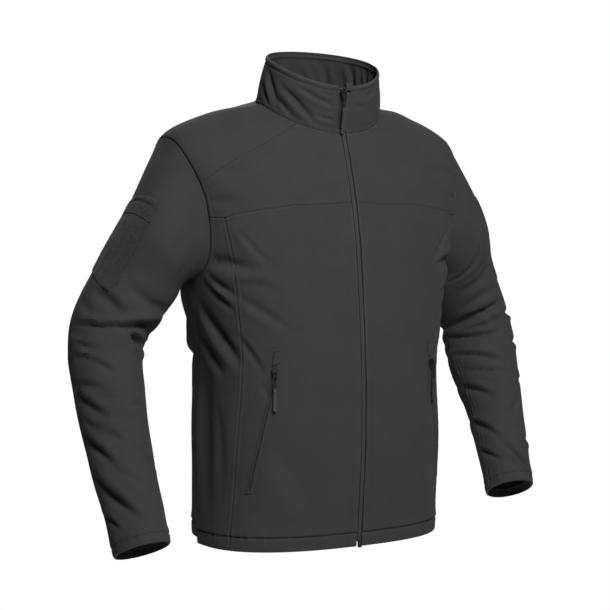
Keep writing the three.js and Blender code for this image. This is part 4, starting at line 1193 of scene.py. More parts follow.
@dataclass(frozen=True)
class BackingFinish:
    """The brushed inner face of the cloth."""

    name: str = "brushed_backing"
    deep: tuple[float, float, float] = (0.008, 0.008, 0.0085)
    pale: tuple[float, float, float] = (0.018, 0.018, 0.0185)

    def make(self) -> Material:
        """Builds the material."""
        tree = FinishTree(self.name)
        where = tree.place()
        pile = tree.noise(where, 520.0, 4.0, 0.7)
        cloud = tree.noise(where, 40.0)
        colour = tree.mix((pile * 1.2 + cloud * 0.5 - 0.4).clipped(), self.deep, self.pale)
        rough, normal = 0.96 - pile * 0.05, tree.bump(pile, 0.0008, 0.6)
        return tree.finish(Base_Color=colour, Roughness=rough, Normal=normal, Sheen_Weight=0.05,
                           Sheen_Roughness=0.6)


@dataclass(frozen=True)
class LoopFinish:
    """The fuzzy face of the loop patches, with painted shade in the bound slit."""

    name: str = "loop_fabric"
    deep: tuple[float, float, float] = (0.0025, 0.0025, 0.0027)
    pale: tuple[float, float, float] = (0.034, 0.034, 0.035)

    def make(self) -> Material:
        """Builds the material."""
        tree = FinishTree(self.name)
        where = tree.place()
        tufts = tree.noise(where, 620.0, 4.0, 0.75)
        curls = tree.noise(where, 210.0, 3.0, 0.6)
        share = (tufts * 2.2 + curls * 1.2 - 1.3).clipped()
        colour = tree.mix(share, self.deep, self.pale)
        # painted shade: the bound slit is drawn near black where the mask is set
        colour = tree.mix(tree.attribute("pale_edge_and_painted_shade").clipped(), colour, (0.0015, 0.0015, 0.0015))
        height = tufts * 0.8 + curls * 0.5
        rough, normal = 0.97 - tufts * 0.05, tree.bump(height, 0.003, 1.0)
        return tree.finish(Base_Color=colour, Roughness=rough, Normal=normal, Sheen_Weight=0.08,
                           Sheen_Roughness=0.5)


@dataclass(frozen=True)
class TapeFinish:
    """Woven zip tape and welts, grey on the tape's face and painted near black as shade where the tape runs
    beside and under the cloth's edges.
    """

    name: str = "zip_tape"
    # painted shade: deep and pale colour the tape beside and under the cloth's edges; face is the tape's own
    # grey
    deep: tuple[float, float, float] = (0.003, 0.003, 0.0032)
    pale: tuple[float, float, float] = (0.007, 0.007, 0.0072)
    face: tuple[float, float, float] = (0.026, 0.026, 0.0265)

    def make(self) -> Material:
        """Builds the material."""
        tree = FinishTree(self.name)
        where = tree.place()
        parts = tree.node("ShaderNodeSeparateXYZ", {}, {0: where})
        ribs = (Number(tree, parts.outputs[2]) * (2 * math.pi / 0.0012)).sine() * 0.5 + 0.5
        grain = tree.noise(where, 900.0)
        colour = tree.mix((ribs * 0.5 + grain * 0.6 - 0.1).clipped(), self.deep, self.pale)
        # painted shade: the tape is near black except on its face, where the mask is set
        colour = tree.mix(tree.attribute("pale_edge_and_painted_shade").clipped(), colour, self.face)
        height = ribs * 0.7 + grain * 0.4
        rough, normal = 0.85 - ribs * 0.08, tree.bump(height, 0.0003, 0.6)
        return tree.finish(Base_Color=colour, Roughness=rough, Normal=normal)


@dataclass(frozen=True)
class MouldedFinish:
    """Black coated metal and moulded plastic of the zips."""

    name: str = "moulded_black"
    deep: tuple[float, float, float] = (0.003, 0.003, 0.0033)
    pale: tuple[float, float, float] = (0.01, 0.01, 0.0105)
    rough: float = 0.42

    def make(self) -> Material:
        """Builds the material."""
        tree = FinishTree(self.name)
        where = tree.place()
        grain = tree.noise(where, 1400.0, 3.0, 0.6)
        wear = tree.noise(where, 160.0, 4.0, 0.7)
        colour = tree.mix((wear * 1.4 - 0.45).clipped(), self.deep, self.pale)
        rough = self.rough + wear * 0.16 + grain * 0.06
        return tree.finish(Base_Color=colour, Roughness=rough, Normal=tree.bump(grain, 0.00015, 0.5))


@dataclass(frozen=True)
class PullFinish:
    """A zip pull: a coated wire loop above a height, and a ribbed rubber strip below it."""

    name: str
    split: float
    strip: float = 0.022
    rib: float = 0.0024

    def make(self) -> Material:
        """Builds the material."""
        tree = FinishTree(self.name)
        where = tree.place()
        parts = tree.node("ShaderNodeSeparateXYZ", {}, {0: where})
        height = Number(tree, parts.outputs[2])
        below = ((self.split - height) * 3000.0).clipped()
        grain = tree.noise(where, 1200.0)
        ribs = (height * (2 * math.pi / self.rib)).sine() * 0.5 + 0.5
        share = (ribs * 0.6 + grain * 0.5 - 0.1).clipped()
        strip = tree.mix(share, (self.strip * 0.6,) * 3, (self.strip,) * 3)
        colour = tree.mix(below, (0.006, 0.006, 0.0065), strip)
        rough = 0.4 + below * 0.22 + grain * 0.08
        normal = tree.bump(ribs * below + grain * 0.15, 0.0005, 0.7)
        return tree.finish(Base_Color=colour, Roughness=rough, Normal=normal)


@dataclass(frozen=True)
class ThreadFinish:
    """Sewing thread, a shade away from the cloth."""

    name: str = "sewing_thread"
    deep: tuple[float, float, float] = (0.012, 0.012, 0.0125)
    pale: tuple[float, float, float] = (0.028, 0.028, 0.029)

    def make(self) -> Material:
        """Builds the material."""
        tree = FinishTree(self.name)
        where = tree.place()
        ply = tree.noise(where, 2600.0, 2.0)
        colour = tree.mix((ply * 1.5 - 0.3).clipped(), self.deep, self.pale)
        return tree.finish(Base_Color=colour, Roughness=0.6 + ply * 0.12, Normal=tree.bump(ply, 0.0001, 0.5))


@dataclass
class Finishes:
    """All materials of the jacket, each made once."""

    shell: Material = field(default_factory=lambda: SoftshellFinish().make())
    backing: Material = field(default_factory=lambda: BackingFinish().make())
    loop: Material = field(default_factory=lambda: LoopFinish().make())
    tape: Material = field(default_factory=lambda: TapeFinish().make())
    moulded: Material = field(default_factory=lambda: MouldedFinish().make())
    front_strip: Material = field(default_factory=lambda: PullFinish("front_pull_strip", -0.0064).make())
    pocket_strip: Material = field(
        default_factory=lambda: PullFinish("pocket_pull_strip", -0.4308, 0.027).make()
    )
    thread: Material = field(default_factory=lambda: ThreadFinish().make())


# Making pieces


def place_on(runs: Array, values: Array, at: float) -> Array:
    """The three values of a line at a distance along it."""
    return np.array([np.interp(at, runs, values[:, k]) for k in range(3)])


class Maker:
    """Makes pieces of the jacket and puts each on its body."""

    def __init__(self, finishes: Finishes) -> None:
        """Keeps the finishes.

        Args:
            finishes: The jacket's materials.
        """
        self.finishes = finishes
        self.count = 0
        self.flats: dict[str, tuple[float, float, float]] = {}

    def settle(self, piece: Piece, slot: str, nodes: tuple[str, ...]) -> Piece:
        """Puts a piece on its body, hides the CAD nodes that it replaces and logs its faces.

        Args:
            piece: The finished piece.
            slot: Not used.
            nodes: CAD nodes that it replaces.

        Returns:
            The piece.
        """
        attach(piece, BODY)
        if nodes:
            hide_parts(*nodes)
        self.count += 1
        LOG.info("%s: %d faces", piece.name, len(piece.data.polygons))
        return piece

    def object_of(self, name: str, points: Array, faces: list, materials: tuple[Material, ...]) -> Piece:
        """A mesh object from points in millimetres.

        Args:
            name: The piece's name.
            points: Its points.
            faces: Its faces.
            materials: Its materials.

        Returns:
            The object.
        """
        mesh = bpy.data.meshes.new(name)
        mesh.from_pydata((points * MM).tolist(), [], faces)
        for material in materials:
            mesh.materials.append(material)
        piece = bpy.data.objects.new(name, mesh)
        bpy.context.scene.collection.objects.link(piece)
        return piece

    def smooth(self, piece: Piece, degrees: float) -> None:
        """Shades a piece smooth except at edges sharper than the angle.

        Args:
            piece: The piece.
            degrees: The angle.
        """
        bpy.ops.object.select_all(action="DESELECT")
        piece.select_set(True)
        bpy.context.view_layer.objects.active = piece
        bpy.ops.object.shade_smooth_by_angle(angle=math.radians(degrees), keep_sharp_edges=True)
        piece.select_set(False)

    def cloth(self, name: str, grids: list[Grid], outer: Material, inner: Material) -> Piece:
        """A closed wall of cloth from one or more grids that share their common points.

        Args:
            name: The piece's name.
            grids: The finished grids.
            outer: Material of the outer face and the edges.
            inner: Material of the inner face.

        Returns:
            The piece, not yet on a body.
        """
        corners, maps, pale_edge_and_painted_shade_masks, places, inside = [], [], [], [], []
        start = 0
        for grid in grids:
            n, m = grid.points.shape[:2]
            index = start + np.arange(n * m).reshape(n, m)
            around = [index[:-1, :-1], index[1:, :-1], index[1:, 1:], index[:-1, 1:]]
            quads = np.stack(around, axis=-1).reshape(-1, 4)
            out = np.cross(np.gradient(grid.points, axis=0), np.gradient(grid.points, axis=1))
            if np.sum(out * grid.normals) < 0:
                quads = quads[:, ::-1]
            corners.append(quads)
            places.append(grid.points.reshape(-1, 3))
            inside.append((grid.points - grid.normals * grid.walls[..., None]).reshape(-1, 3))
            pale_edge_and_painted_shade_masks.append(grid.pale_edge_and_painted_shade.ravel())
            across, down = grid.away(Border.START), grid.away(Border.TOP)
            maps.append(np.stack([across, down], axis=-1).reshape(-1, 2) * MM)
            start += n * m
        places, inside = np.concatenate(places), np.concatenate(inside)
        marks = np.round(places * WELD_PER_MM).astype(np.int64)
        _, first, same = np.unique(marks, axis=0, return_index=True, return_inverse=True)
        same = same.ravel()
        raw = np.concatenate(corners)
        quads = same[raw]
        keep = np.array([len(set(q)) > 2 for q in quads.tolist()])
        quads, raw = quads[keep], raw[keep]
        count = len(first)
        directed = {}
        for q, r in zip(quads.tolist(), raw.tolist()):
            for k in range(4):
                ahead = (k + 1) % 4
                directed[q[k], q[ahead]] = (r[k], r[ahead])
        rims = [(side, ends) for side, ends in directed.items()
                if side[::-1] not in directed and side[0] != side[1]]
        faces, uv, kinds = [], [], []
        table = np.concatenate(maps)
        for q, r in zip(quads.tolist(), raw.tolist()):
            order = [k for k in range(4) if q[k] != q[(k + 1) % 4]]
            faces.append([q[k] for k in order])
            uv.extend(table[r[k]] for k in order)
            faces.append([q[k] + count for k in reversed(order)])
            uv.extend(table[r[k]] for k in reversed(order))
            kinds.extend((0, 1))
        for (a, b), (ra, rb) in rims:
            faces.append([b, a, a + count, b + count])
            uv.extend((table[rb], table[ra], table[ra], table[rb]))
            kinds.append(0)
        points = np.concatenate([places[first], inside[first]])
        piece = self.object_of(name, points, faces, (outer, inner))
        mesh = piece.data
        mesh.polygons.foreach_set("material_index", kinds)
        mesh.uv_layers.new(name="cloth").data.foreach_set("uv", np.array(uv, np.float32).ravel())
        # the mask of paler edges and painted shade goes on both faces, for the finishes
        pale_edge_and_painted_shade = np.concatenate(pale_edge_and_painted_shade_masks)[first]
        pale_edge_and_painted_shade = np.concatenate([pale_edge_and_painted_shade, pale_edge_and_painted_shade]).astype(np.float32)
        mesh.attributes.new("pale_edge_and_painted_shade", "FLOAT", "POINT").data.foreach_set("value", pale_edge_and_painted_shade)
        mesh.update()
        self.smooth(piece, CLOTH_BEND)
        return piece

    def template(self, shape: Shape) -> tuple[Array, list[list[int]]]:
        """A small repeated shape, modelled once at its size in millimetres.

        Args:
            shape: Which shape.

        Returns:
            Points with X along the line and Z out of the cloth, and faces.
        """
        bpy.ops.object.select_all(action="DESELECT")
        if shape is Shape.STITCH:
            bpy.ops.mesh.primitive_uv_sphere_add(segments=6, ring_count=5, radius=1.0)
            scale = (0.34, 0.28, 1.35)
        else:
            bpy.ops.mesh.primitive_cylinder_add(vertices=6, radius=0.5, depth=4.4)
            scale = (1.0, 1.0, 1.0)
        made = bpy.context.object
        bpy.ops.object.mode_set(mode="EDIT")
        bpy.ops.mesh.select_all(action="SELECT")
        if shape is Shape.TOOTH:
            bpy.ops.mesh.bevel(offset=0.18, segments=1, affect="EDGES")
        bpy.ops.mesh.normals_make_consistent(inside=False)
        bpy.ops.object.mode_set(mode="OBJECT")
        points = np.array([v.co for v in made.data.vertices]) * np.array(scale)
        faces = [list(p.vertices) for p in made.data.polygons]
        bpy.data.objects.remove(made, do_unlink=True)
        if shape is Shape.STITCH:
            return points[:, [2, 0, 1]], faces
        return points[:, [0, 2, 1]] * np.array([1, 1, -1]), faces

    def row_of(self, name: str, shape: Shape, lines: list[Pair], pitch: float, lift: float,
               material: Material, size: tuple[float, float, float] = (1, 1, 1)) -> Piece:
        """Copies of a small shape along lines, joined to one piece.

        Args:
            name: The piece's name.
            shape: The shape that is repeated.
            lines: Points and directions out of the cloth of each line.
            pitch: Millimetres from one copy to the next.
            lift: Height of the copies' middles over the line.
            material: The copies' material.
            size: Scale along, across and out.

        Returns:
            The piece, not yet on a body.
        """
        shape_points, shape_faces = self.template(shape)
        shape_points = shape_points * np.array(size)
        points, faces, start = [], [], 0
        for line, normals in lines:
            runs = np.concatenate([[0.0], np.cumsum(np.linalg.norm(np.diff(line, axis=0), axis=1))])
            for at in np.arange(pitch / 2, runs[-1], pitch):
                centre, out = place_on(runs, line, at), place_on(runs, normals, at)
                ahead = place_on(runs, line, min(at + pitch / 3, runs[-1]))
                behind = place_on(runs, line, max(at - pitch / 3, 0))
                along = unit(ahead - behind)
                side = unit(np.cross(out, along))
                out = np.cross(along, side)
                placed = centre + out * lift + shape_points @ np.stack([along, side, out])
                points.append(placed)
                faces.extend([[i + start for i in face] for face in shape_faces])
                start += len(shape_points)
        piece = self.object_of(name, np.concatenate(points), faces, (material,))
        self.smooth(piece, SMALL_BEND)
        return piece

    def sew(self, name: str, lines: list[Pair]) -> None:
        """Rows of stitches along lines, on the body.

        Args:
            name: The piece's name.
            lines: Points and directions of each row.
        """
        piece = self.row_of(name, Shape.STITCH, lines, 3.3, 0.05, self.finishes.thread)
        self.settle(piece, "shell", ())

    def declare(self, piece: Piece, grids: list[Grid], held: str = "hung",
                size: tuple[float, float] | None = None) -> None:
        """Says what a sheet was cut to.

        Args:
            piece: The sheet.
            grids: The grids that it was made of.
            held: Not used.
            size: Its flat width and length in millimetres, where one grid doesn't give them.
        """
        area = sum(grid.area() for grid in grids)
        wide, long = size or (grids[0].width(), grids[0].length())
        width, length = wide * MM, max(long * MM, area * MM * MM / (wide * MM) / CUT_SHARE)
        flat, cut = (round(width, 4), round(length, 4)), round(area * MM * MM * CUT_SHARE, 6)
        self.flats[piece.name] = (*flat, cut)

    def dress(self, node: str, material: Material) -> None:
        """Gives a CAD node its finish, with its shape as it is.

        Args:
            node: The CAD node's name.
            material: Its finish.
        """
        shown = bpy.data.objects[node]
        shown.data.materials.clear()
        shown.data.materials.append(material)


def laid(form: BodyForm | SleeveForm | CollarForm, a: Array, b: Array) -> Pair:
    """Points of creased cloth on a form, and the directions out of it.

    Args:
        form: The form.
        a: First station of each place.
        b: Second station of each place.

    Returns:
        Points and directions, shaped as the stations with three columns.
    """
    first, second = a.ravel(), b.ravel()
    out = form.normal(first, second)
    points = form.base(first, second) + out * form.relief(first, second)[:, None]
    return points.reshape(*a.shape, 3), out.reshape(*a.shape, 3)


# The trunk


@dataclass
class Trunk:
    """Yokes, front and side panels and the back, cut from one form and sewn along its seams."""

    maker: Maker
    form: BodyForm = field(default_factory=BodyForm)
    inset: float = 0.08
    grids: dict[str, Grid] = field(default_factory=dict)

    @property
    def shoulder_angle(self) -> float:
        """Where the shoulder seam meets the armhole."""
        return self.form.armhole.angle(2.65)

    @property
    def chest_angle(self) -> float:
        """Where the chest seam meets the armhole."""
        return self.form.armhole.angle(3.2)

    def arc(self, first: float, last: float) -> Edge1D:
        """A stretch of the armhole between two angles."""
        return lambda at: self.form.armhole.station(first + (last - first) * at)

    def zip_edge(self, t0: float, t1: float) -> Edge1D:
        """The front edge between two heights.

        Args:
            t0: The upper height.
            t1: The lower height.

        Returns:
            The border.
        """

        def run(at: Array) -> Pair:
            """Stations down the edge."""
            t = t0 + (t1 - t0) * at
            return self.form.station_at(t, self.form.channel), t

        return run

    def shoulder(self, at: Array) -> Pair:
        """The shoulder seam, from the collar to the armhole."""
        s, t = self.form.armhole.station(np.array([self.shoulder_angle]))
        return self.form.along_seam((*self.form.shoulder, (float(s[0]), float(t[0]))), at)

    def chest(self, at: Array) -> Pair:
        """The chest seam, from the zip to the princess seam.

        Args:
            at: Shares along it.

        Returns:
            Stations.
        """
        s, t = self.form.along_seam(self.form.chest, at)
        edge = self.form.station_at(np.array([self.form.chest[0][1]]), self.form.channel)[0]
        last = self.form.chest[-1][0]
        return edge + (last - edge) * s / last, t

    def chest_end(self, at: Array) -> Pair:
        """The chest seam, from the princess seam to the armhole."""
        s, t = self.form.armhole.station(np.array([self.chest_angle]))
        return straight(*self.form.chest[-1], float(s[0]), float(t[0]))(at)

    def princess(self, at: Array) -> Pair:
        """The seam between front and side panel."""
        return self.form.along_seam(self.form.princess, at)

    def side(self, at: Array) -> Pair:
        """The side seam."""
        return self.form.along_seam(self.form.side, at)

    def yoke_line(self, at: Array) -> Pair:
        """The line across the back at the middle of the armholes."""
        s, t = self.form.armhole.station(np.array([-math.pi / 2]))
        return float(s[0]) + (1 - float(s[0])) * at, np.full(len(at), float(t[0]))

    def marks(self, steps: int, length: float, close: tuple[float, float],
              corners: tuple[float, ...]) -> Array:
        """Graded shares with a column at each corner of a border.

        Args:
            steps: How many steps.
            length: Its millimetres.
            close: Millimetres of close steps at both ends.
            corners: Shares where the border turns.

        Returns:
            The shares.
        """
        shares = graded(steps, length, close)
        for corner in corners:
            shares[np.argmin(np.abs(shares - corner))] = corner
        return shares

    def quads(self) -> dict[str, tuple[Quad, Array, Array, tuple[float, float, float, float]]]:
        """The panels of one side.

        Returns:
            For each name the borders, the shares of its columns and of its rows, and the four numbers that
            Quad.stations takes as its inset.
        """
        form, middle, low = self.form, float(self.yoke_line(np.zeros(1))[1][0]), self.form.armhole.bottom
        edge = float(form.station_at(np.array([form.hem_t]), form.channel)[0])
        neck = float(form.station_at(np.zeros(1), form.channel)[0])
        chest_t, hem, top = form.chest[0][1], form.hem_t, form.shoulder[0][0]
        front_end, side_end = form.princess[-1][0], form.side[-1][0]
        shoulder_top = chain([(straight(neck, 0, top, 0), 0.5), (self.shoulder, 0.5)])
        side_top = chain([(self.chest_end, 2 / 7), (self.arc(self.chest_angle, math.pi), 5 / 7)])
        over = chain([(self.arc(self.shoulder_angle, -math.pi / 2), 9 / 17), (self.yoke_line, 8 / 17)])
        down = chain([(self.arc(-math.pi / 2, -math.pi), 0.2), (self.side, 0.8)])
        centre = chain([(straight(1, middle, 1, low), 0.2), (straight(1, low, 1, hem), 0.8)])
        yoke_bottom = chain([(self.chest, 0.8), (self.chest_end, 0.2)])
        armhole = self.arc(self.shoulder_angle, self.chest_angle)
        yoke = Quad(shoulder_top, yoke_bottom, self.zip_edge(0, chest_t), armhole)
        front_hem = straight(edge, hem, front_end, hem)
        front = Quad(self.chest, front_hem, self.zip_edge(chest_t, hem), self.princess)
        side = Quad(side_top, straight(front_end, hem, side_end, hem), self.princess, self.side)
        upper = Quad(straight(top, 0, 1, 0), over, self.shoulder, straight(1, 0, 1, middle))
        lower = Quad(self.yoke_line, straight(side_end, hem, 1, hem), down, centre)
        return {
            "yoke": (yoke, self.marks(60, 190, (17, 9), (0.5, 0.8)), graded(36, 90, (9, 9)), (190, 90, 1, 1)),
            "front": (front, graded(67, 200, (17, 9)), graded(153, 530, (9, 27)), (200, 530, 1, 1)),
            "side": (side, self.marks(36, 95, (9, 9), (2 / 7,)), graded(136, 480, (9, 27)), (95, 480, 1, 1)),
            "upper": (upper, np.linspace(0, 1, 137), graded(40, 100, (9, 9)), (330, 100, 0, 1)),
            "lower": (lower, np.linspace(0, 1, 65), graded(152, 560, (9, 27)), (260, 560, 0, 0)),
        }

    def stations(self, name: str) -> Pair:
        """Stations of one panel's grid.

        Args:
            name: The panel.

        Returns:
            Stations, shaped as the grid.
        """
        quad, columns, rows, (across, down, joins_end, open_top) = self.quads()[name]
        a, d = self.inset / across, self.inset / down
        return quad.stations(columns, rows, (a, a * joins_end, d * open_top, d))

    def seams(self, side: Side, back: bool) -> list[SeamLine]:
        """The sewn lines of one side of the body.

        Args:
            side: The wearer's side.
            back: Whether the panel is the back, whose hem ends higher.

        Returns:
            The lines, each on the creased cloth.
        """
        form, sign = self.form, side.sign
        share = np.linspace(0, 1, 220)
        hem_t = form.back_hem_t if back else form.hem_t
        around = np.linspace(form.side[-1][0] if back else 0.0, 1.0 if back else form.side[-1][0], 260)
        runs = [
            (straight(0, 0, 1, 0)(share), Edge.SET_IN),
            (self.shoulder(share), Edge.SEAM),
            (self.chest(share), Edge.SEAM),
            (self.chest_end(share), Edge.SEAM),
            (self.princess(share), Edge.SEAM),
            (self.side(share), Edge.SEAM),
            (self.arc(-math.pi, math.pi)(share), Edge.SET_IN),
            (self.zip_edge(0, form.hem_t)(share), Edge.ZIP),
            ((around, np.full(len(around), hem_t)), Edge.HEM),
        ]
        lines = []
        for k, ((s, t), edge) in enumerate(runs):
            if back and k in (2, 3, 4, 7):
                continue
            lines.append(SeamLine(laid(form, s * sign, t)[0], edge, 40 + 3 * k + sign))
        return lines

    def grid(self, side: Side, s: Array, t: Array, back: bool = False) -> Grid:
        """A sewn grid of cloth at stations.

        Args:
            side: The wearer's side.
            s: Shares round.
            t: Heights.
            back: Whether it is a part of the back.

        Returns:
            The grid.
        """
        points, normals = laid(self.form, s * side.sign, t)
        if back:
            other = Side.LEFT if side is Side.RIGHT else Side.RIGHT
            lines = self.seams(side, True) + [self.seams(other, True)[0], self.seams(other, True)[-1]]
            return self.joined(points, normals, lines)
        return Grid(points, normals).sew(self.seams(side, False))

    def joined(self, points: Array, normals: Array, lines: list[SeamLine]) -> Grid:
        """The back's grid, with the collar seam and the hem of both halves taken as one line each.

        Args:
            points: Its points.
            normals: Its directions.
            lines: Sewn lines of both halves.

        Returns:
            The grid.
        """
        neck = np.concatenate([lines[0].points, lines[-2].points[::-1][1:]])
        hem = np.concatenate([lines[4].points, lines[-1].points[::-1][1:]])
        own = [SeamLine(neck, Edge.SET_IN, 61), *lines[1:4], SeamLine(hem, Edge.HEM, 62)]
        return Grid(points, normals).sew(own)

    def raised(self, t: Array) -> Array:
        """Heights of the back, whose hem ends a little higher."""
        return t - smooth(t, 6.8, self.form.hem_t) * (self.form.hem_t - self.form.back_hem_t)

    def build(self) -> None:
        """Builds and dresses all panels."""
        finishes = self.maker.finishes
        halves = []
        for side in Side:
            for name in ("yoke", "front", "side"):
                grid = self.grid(side, *self.stations(name))
                self.grids[f"{name}_{side.word}"] = grid
                called = f"{name}_cloth_{side.word}"
                piece = self.maker.cloth(called, [grid], finishes.shell, finishes.backing)
                self.maker.settle(piece, "shell", (f"{name}_{side.word}",))
                self.maker.declare(piece, [grid])
            s, t = self.stations("upper")
            low_s, low_t = self.stations("lower")
            low_t = self.raised(low_t)
            s[72:, -1], t[72:, -1] = low_s[:, 0], low_t[:, 0]
            pair = [self.grid(side, s, t, True), self.grid(side, low_s, low_t, True)]
            self.grids[f"upper_{side.word}"], self.grids[f"lower_{side.word}"] = pair
            halves += pair
        back = self.maker.cloth("back_cloth", halves, finishes.shell, finishes.backing)
        self.maker.settle(back, "shell", ("back",))
        upper, lower = halves[:2]
        self.maker.declare(back, halves, size=(2 * lower.width(), upper.length() + lower.length()))
        self.stitch()

    def stitch(self) -> None:
        """Sews the rows of stitches beside the seams, the zip and the hem."""
        rows: dict[str, list[Pair]] = {}
        for side in Side:
            grids = {name: self.grids[f"{name}_{side.word}"] for name in PANELS}
            rows[f"yoke_{side.word}"] = [
                grids["yoke"].line(Border.TOP, YOKE_STITCHES, 0, 33),
                grids["yoke"].line(Border.BOTTOM, YOKE_STITCHES),
                grids["yoke"].line(Border.START, ZIP_STITCHES),
                grids["yoke"].line(Border.END, YOKE_STITCHES),
            ]
            rows[f"front_{side.word}"] = [
                grids["front"].line(Border.TOP, SEAM_STITCHES),
                grids["front"].line(Border.START, ZIP_STITCHES),
                grids["front"].line(Border.END, SEAM_STITCHES),
                grids["front"].line(Border.BOTTOM, HEM_STITCHES),
            ]
            rows[f"side_{side.word}"] = [
                grids["side"].line(Border.TOP, YOKE_STITCHES),
                grids["side"].line(Border.END, SEAM_STITCHES),
                grids["side"].line(Border.BOTTOM, HEM_STITCHES),
            ]
            rows[f"back_{side.word}"] = [
                grids["upper"].line(Border.TOP, YOKE_STITCHES),
                grids["upper"].line(Border.START, SEAM_STITCHES),
                grids["upper"].line(Border.BOTTOM, YOKE_STITCHES, 0, 72),
                grids["lower"].line(Border.START, SEAM_STITCHES),
                grids["lower"].line(Border.BOTTOM, HEM_STITCHES),
            ]
        for name, lines in rows.items():
            self.maker.sew(f"stitches_{name}", lines)


# Sleeves and collar


@dataclass
class Sleeve:
    """One sleeve in two pieces, set into the armhole, with its loop patches."""

    maker: Maker
    form: SleeveForm
    edge: tuple[tuple[float, float], ...] = ((-46, 2.12), (-16, 2.2), (10, 2.29), (40, 2.41), (47.5, 2.18))
    patch_top: tuple[float, float] = (0.916, -0.0045)
    patch_split: tuple[float, float] = (1.2, -0.0026)
    patch_front: tuple[float, float] = (39.0, 42.0)
    slit: tuple[float, float] = (0.99, -0.0033)
    patch_gap: float = 0.004
    patch_rise: float = 1.7

    def lines(self) -> list[SeamLine]:
        """The sewn lines of the sleeve."""
        w = np.linspace(0, 7, 300)
        around = np.radians(np.linspace(-90, 270, 320))
        seed = 80 + self.form.side.sign
        runs = [
            (around, np.zeros(320), Edge.SET_IN), (around, np.full(320, 7.0), Edge.CUFF),
            (np.full(300, math.pi), w, Edge.SEAM), (np.full(300, -math.pi / 2), w, Edge.SEAM),
        ]
        return [SeamLine(laid(self.form, a, b)[0], edge, seed + 4 * k) for k, (a, b, edge) in enumerate(runs)]

    def build(self) -> None:
        """Builds and dresses the sleeve."""
        lines, word, finishes = self.lines(), self.form.side.word, self.maker.finishes
        rows = []
        for name, first, last, columns in (("upper", -90, 180, 88), ("under", 180, 270, 34)):
            angles = np.radians(first + (last - first) * graded(columns, (last - first) / 0.9, (9, 9)))
            angles[0], angles[-1] = angles[0] + 0.003, angles[-1] - 0.003
            stops = 0.017 + 6.983 * graded(156, 6.983, (0.2, 0.38), 0.024)
            a, w = np.meshgrid(angles, stops, indexing="ij")
            grid = Grid(*laid(self.form, a, w)).sew(lines)
            piece = self.maker.cloth(f"sleeve_{name}_cloth_{word}", [grid], finishes.shell, finishes.backing)
            self.maker.settle(piece, "shell", (f"sleeve_{name}_{word}",))
            self.maker.declare(piece, [grid])
            rows.append(grid.line(Border.BOTTOM, CUFF_STITCHES))
            if name == "upper":
                rows += [grid.line(Border.START, SEAM_STITCHES), grid.line(Border.END, SEAM_STITCHES)]
        self.maker.sew(f"stitches_sleeve_{word}", rows)
        self.patches()

    def patch(self, name: str, a: Array, w: Array, slit: bool) -> Grid:
        """One piece of loop fabric on the sleeve.

        Args:
            name: The CAD node that it replaces.
            a: Angles in degrees, shaped as the grid.
            w: Stations down the sleeve.
            slit: Whether it has the bound slit near its top, with painted shade in it.

        Returns:
            The finished grid.
        """
        grid = Grid(*laid(self.form, np.radians(a), w))
        rim = np.minimum.reduce([grid.away(border) for border in Border])
        rng = np.random.default_rng(len(name) + self.form.side.sign)
        rise = self.patch_rise * (0.45 + 0.55 * np.sqrt(np.clip(rim / 2.2, 0, 1)))
        rise += 0.45 * (rng.random(rise.shape) - 0.5) * np.clip(rim / 2.0, 0.3, 1)
        rise += 0.4 * ripple(grid.away(Border.START), 7, (17.0, 29.0)) * np.clip(rim / 4.0, 0, 1)
        groove = np.exp(-(((rim - 4.2) / 0.8) ** 2)) * 0.55
        if slit:
            down = (w - self.slit[0] - self.slit[1] * a) * self.form.along
            inside = smooth(a, -7, -5) * (1 - smooth(a, 33, 35))
            groove = np.maximum(groove * (down > 6), 1.9 * np.exp(-((down / 2.1) ** 4)) * inside)
            # painted shade: marks the slit to be drawn near black
            grid.pale_edge_and_painted_shade = 1.6 * np.exp(-((down / 2.3) ** 4)) * inside
        rise -= groove
        grid.points = grid.points + grid.normals * rise[..., None]
        grid.walls = np.maximum(rise + 0.5, 0.4)
        finishes = self.maker.finishes
        piece = self.maker.cloth(f"{name}_fabric", [grid], finishes.loop, finishes.loop)
        self.maker.settle(piece, "loop", (name,))
        self.maker.declare(piece, [grid], "laid")
        return grid

    def patches(self) -> None:
        """Builds the strip and the pointed panel under it."""
        word = self.form.side.word
        back, front = self.edge[0], self.edge[-1]
        top = [(a, self.patch_top[0] + self.patch_top[1] * a) for a in (back[0], self.patch_front[0])]
        split = [(a, self.patch_split[0] + self.patch_split[1] * a) for a in (back[0], self.patch_front[1])]
        upper = Quad(straight(*top[0], *top[1]), straight(*split[0], *split[1]), straight(*top[0], *split[0]),
                     straight(*top[1], *split[1]))
        across, down = graded(64, 120, (8, 8)), graded(64, 80, (8, 8))
        strip = self.patch(f"patch_strip_{word}", *upper.stations(across, np.linspace(0, 1, 25)), True)
        split = [(a, w + self.patch_gap) for a, w in split]
        steps = [0.3, 0.29, 0.29, 0.12]
        lower = chain([(straight(*p, *q), n) for p, q, n in zip(self.edge[:-1], self.edge[1:], steps)])
        sides = straight(*split[0], *back), straight(*split[1], *front)
        quad = Quad(straight(*split[0], *split[1]), lower, *sides)
        panel = self.patch(f"patch_loop_{word}", *quad.stations(across, down), False)
        rows = [strip.line(Border.BOTTOM, 1.6)]
        rows += [panel.line(border, 3.0) for border in (Border.START, Border.END, Border.BOTTOM)]
        self.maker.sew(f"stitches_patch_{word}", rows)


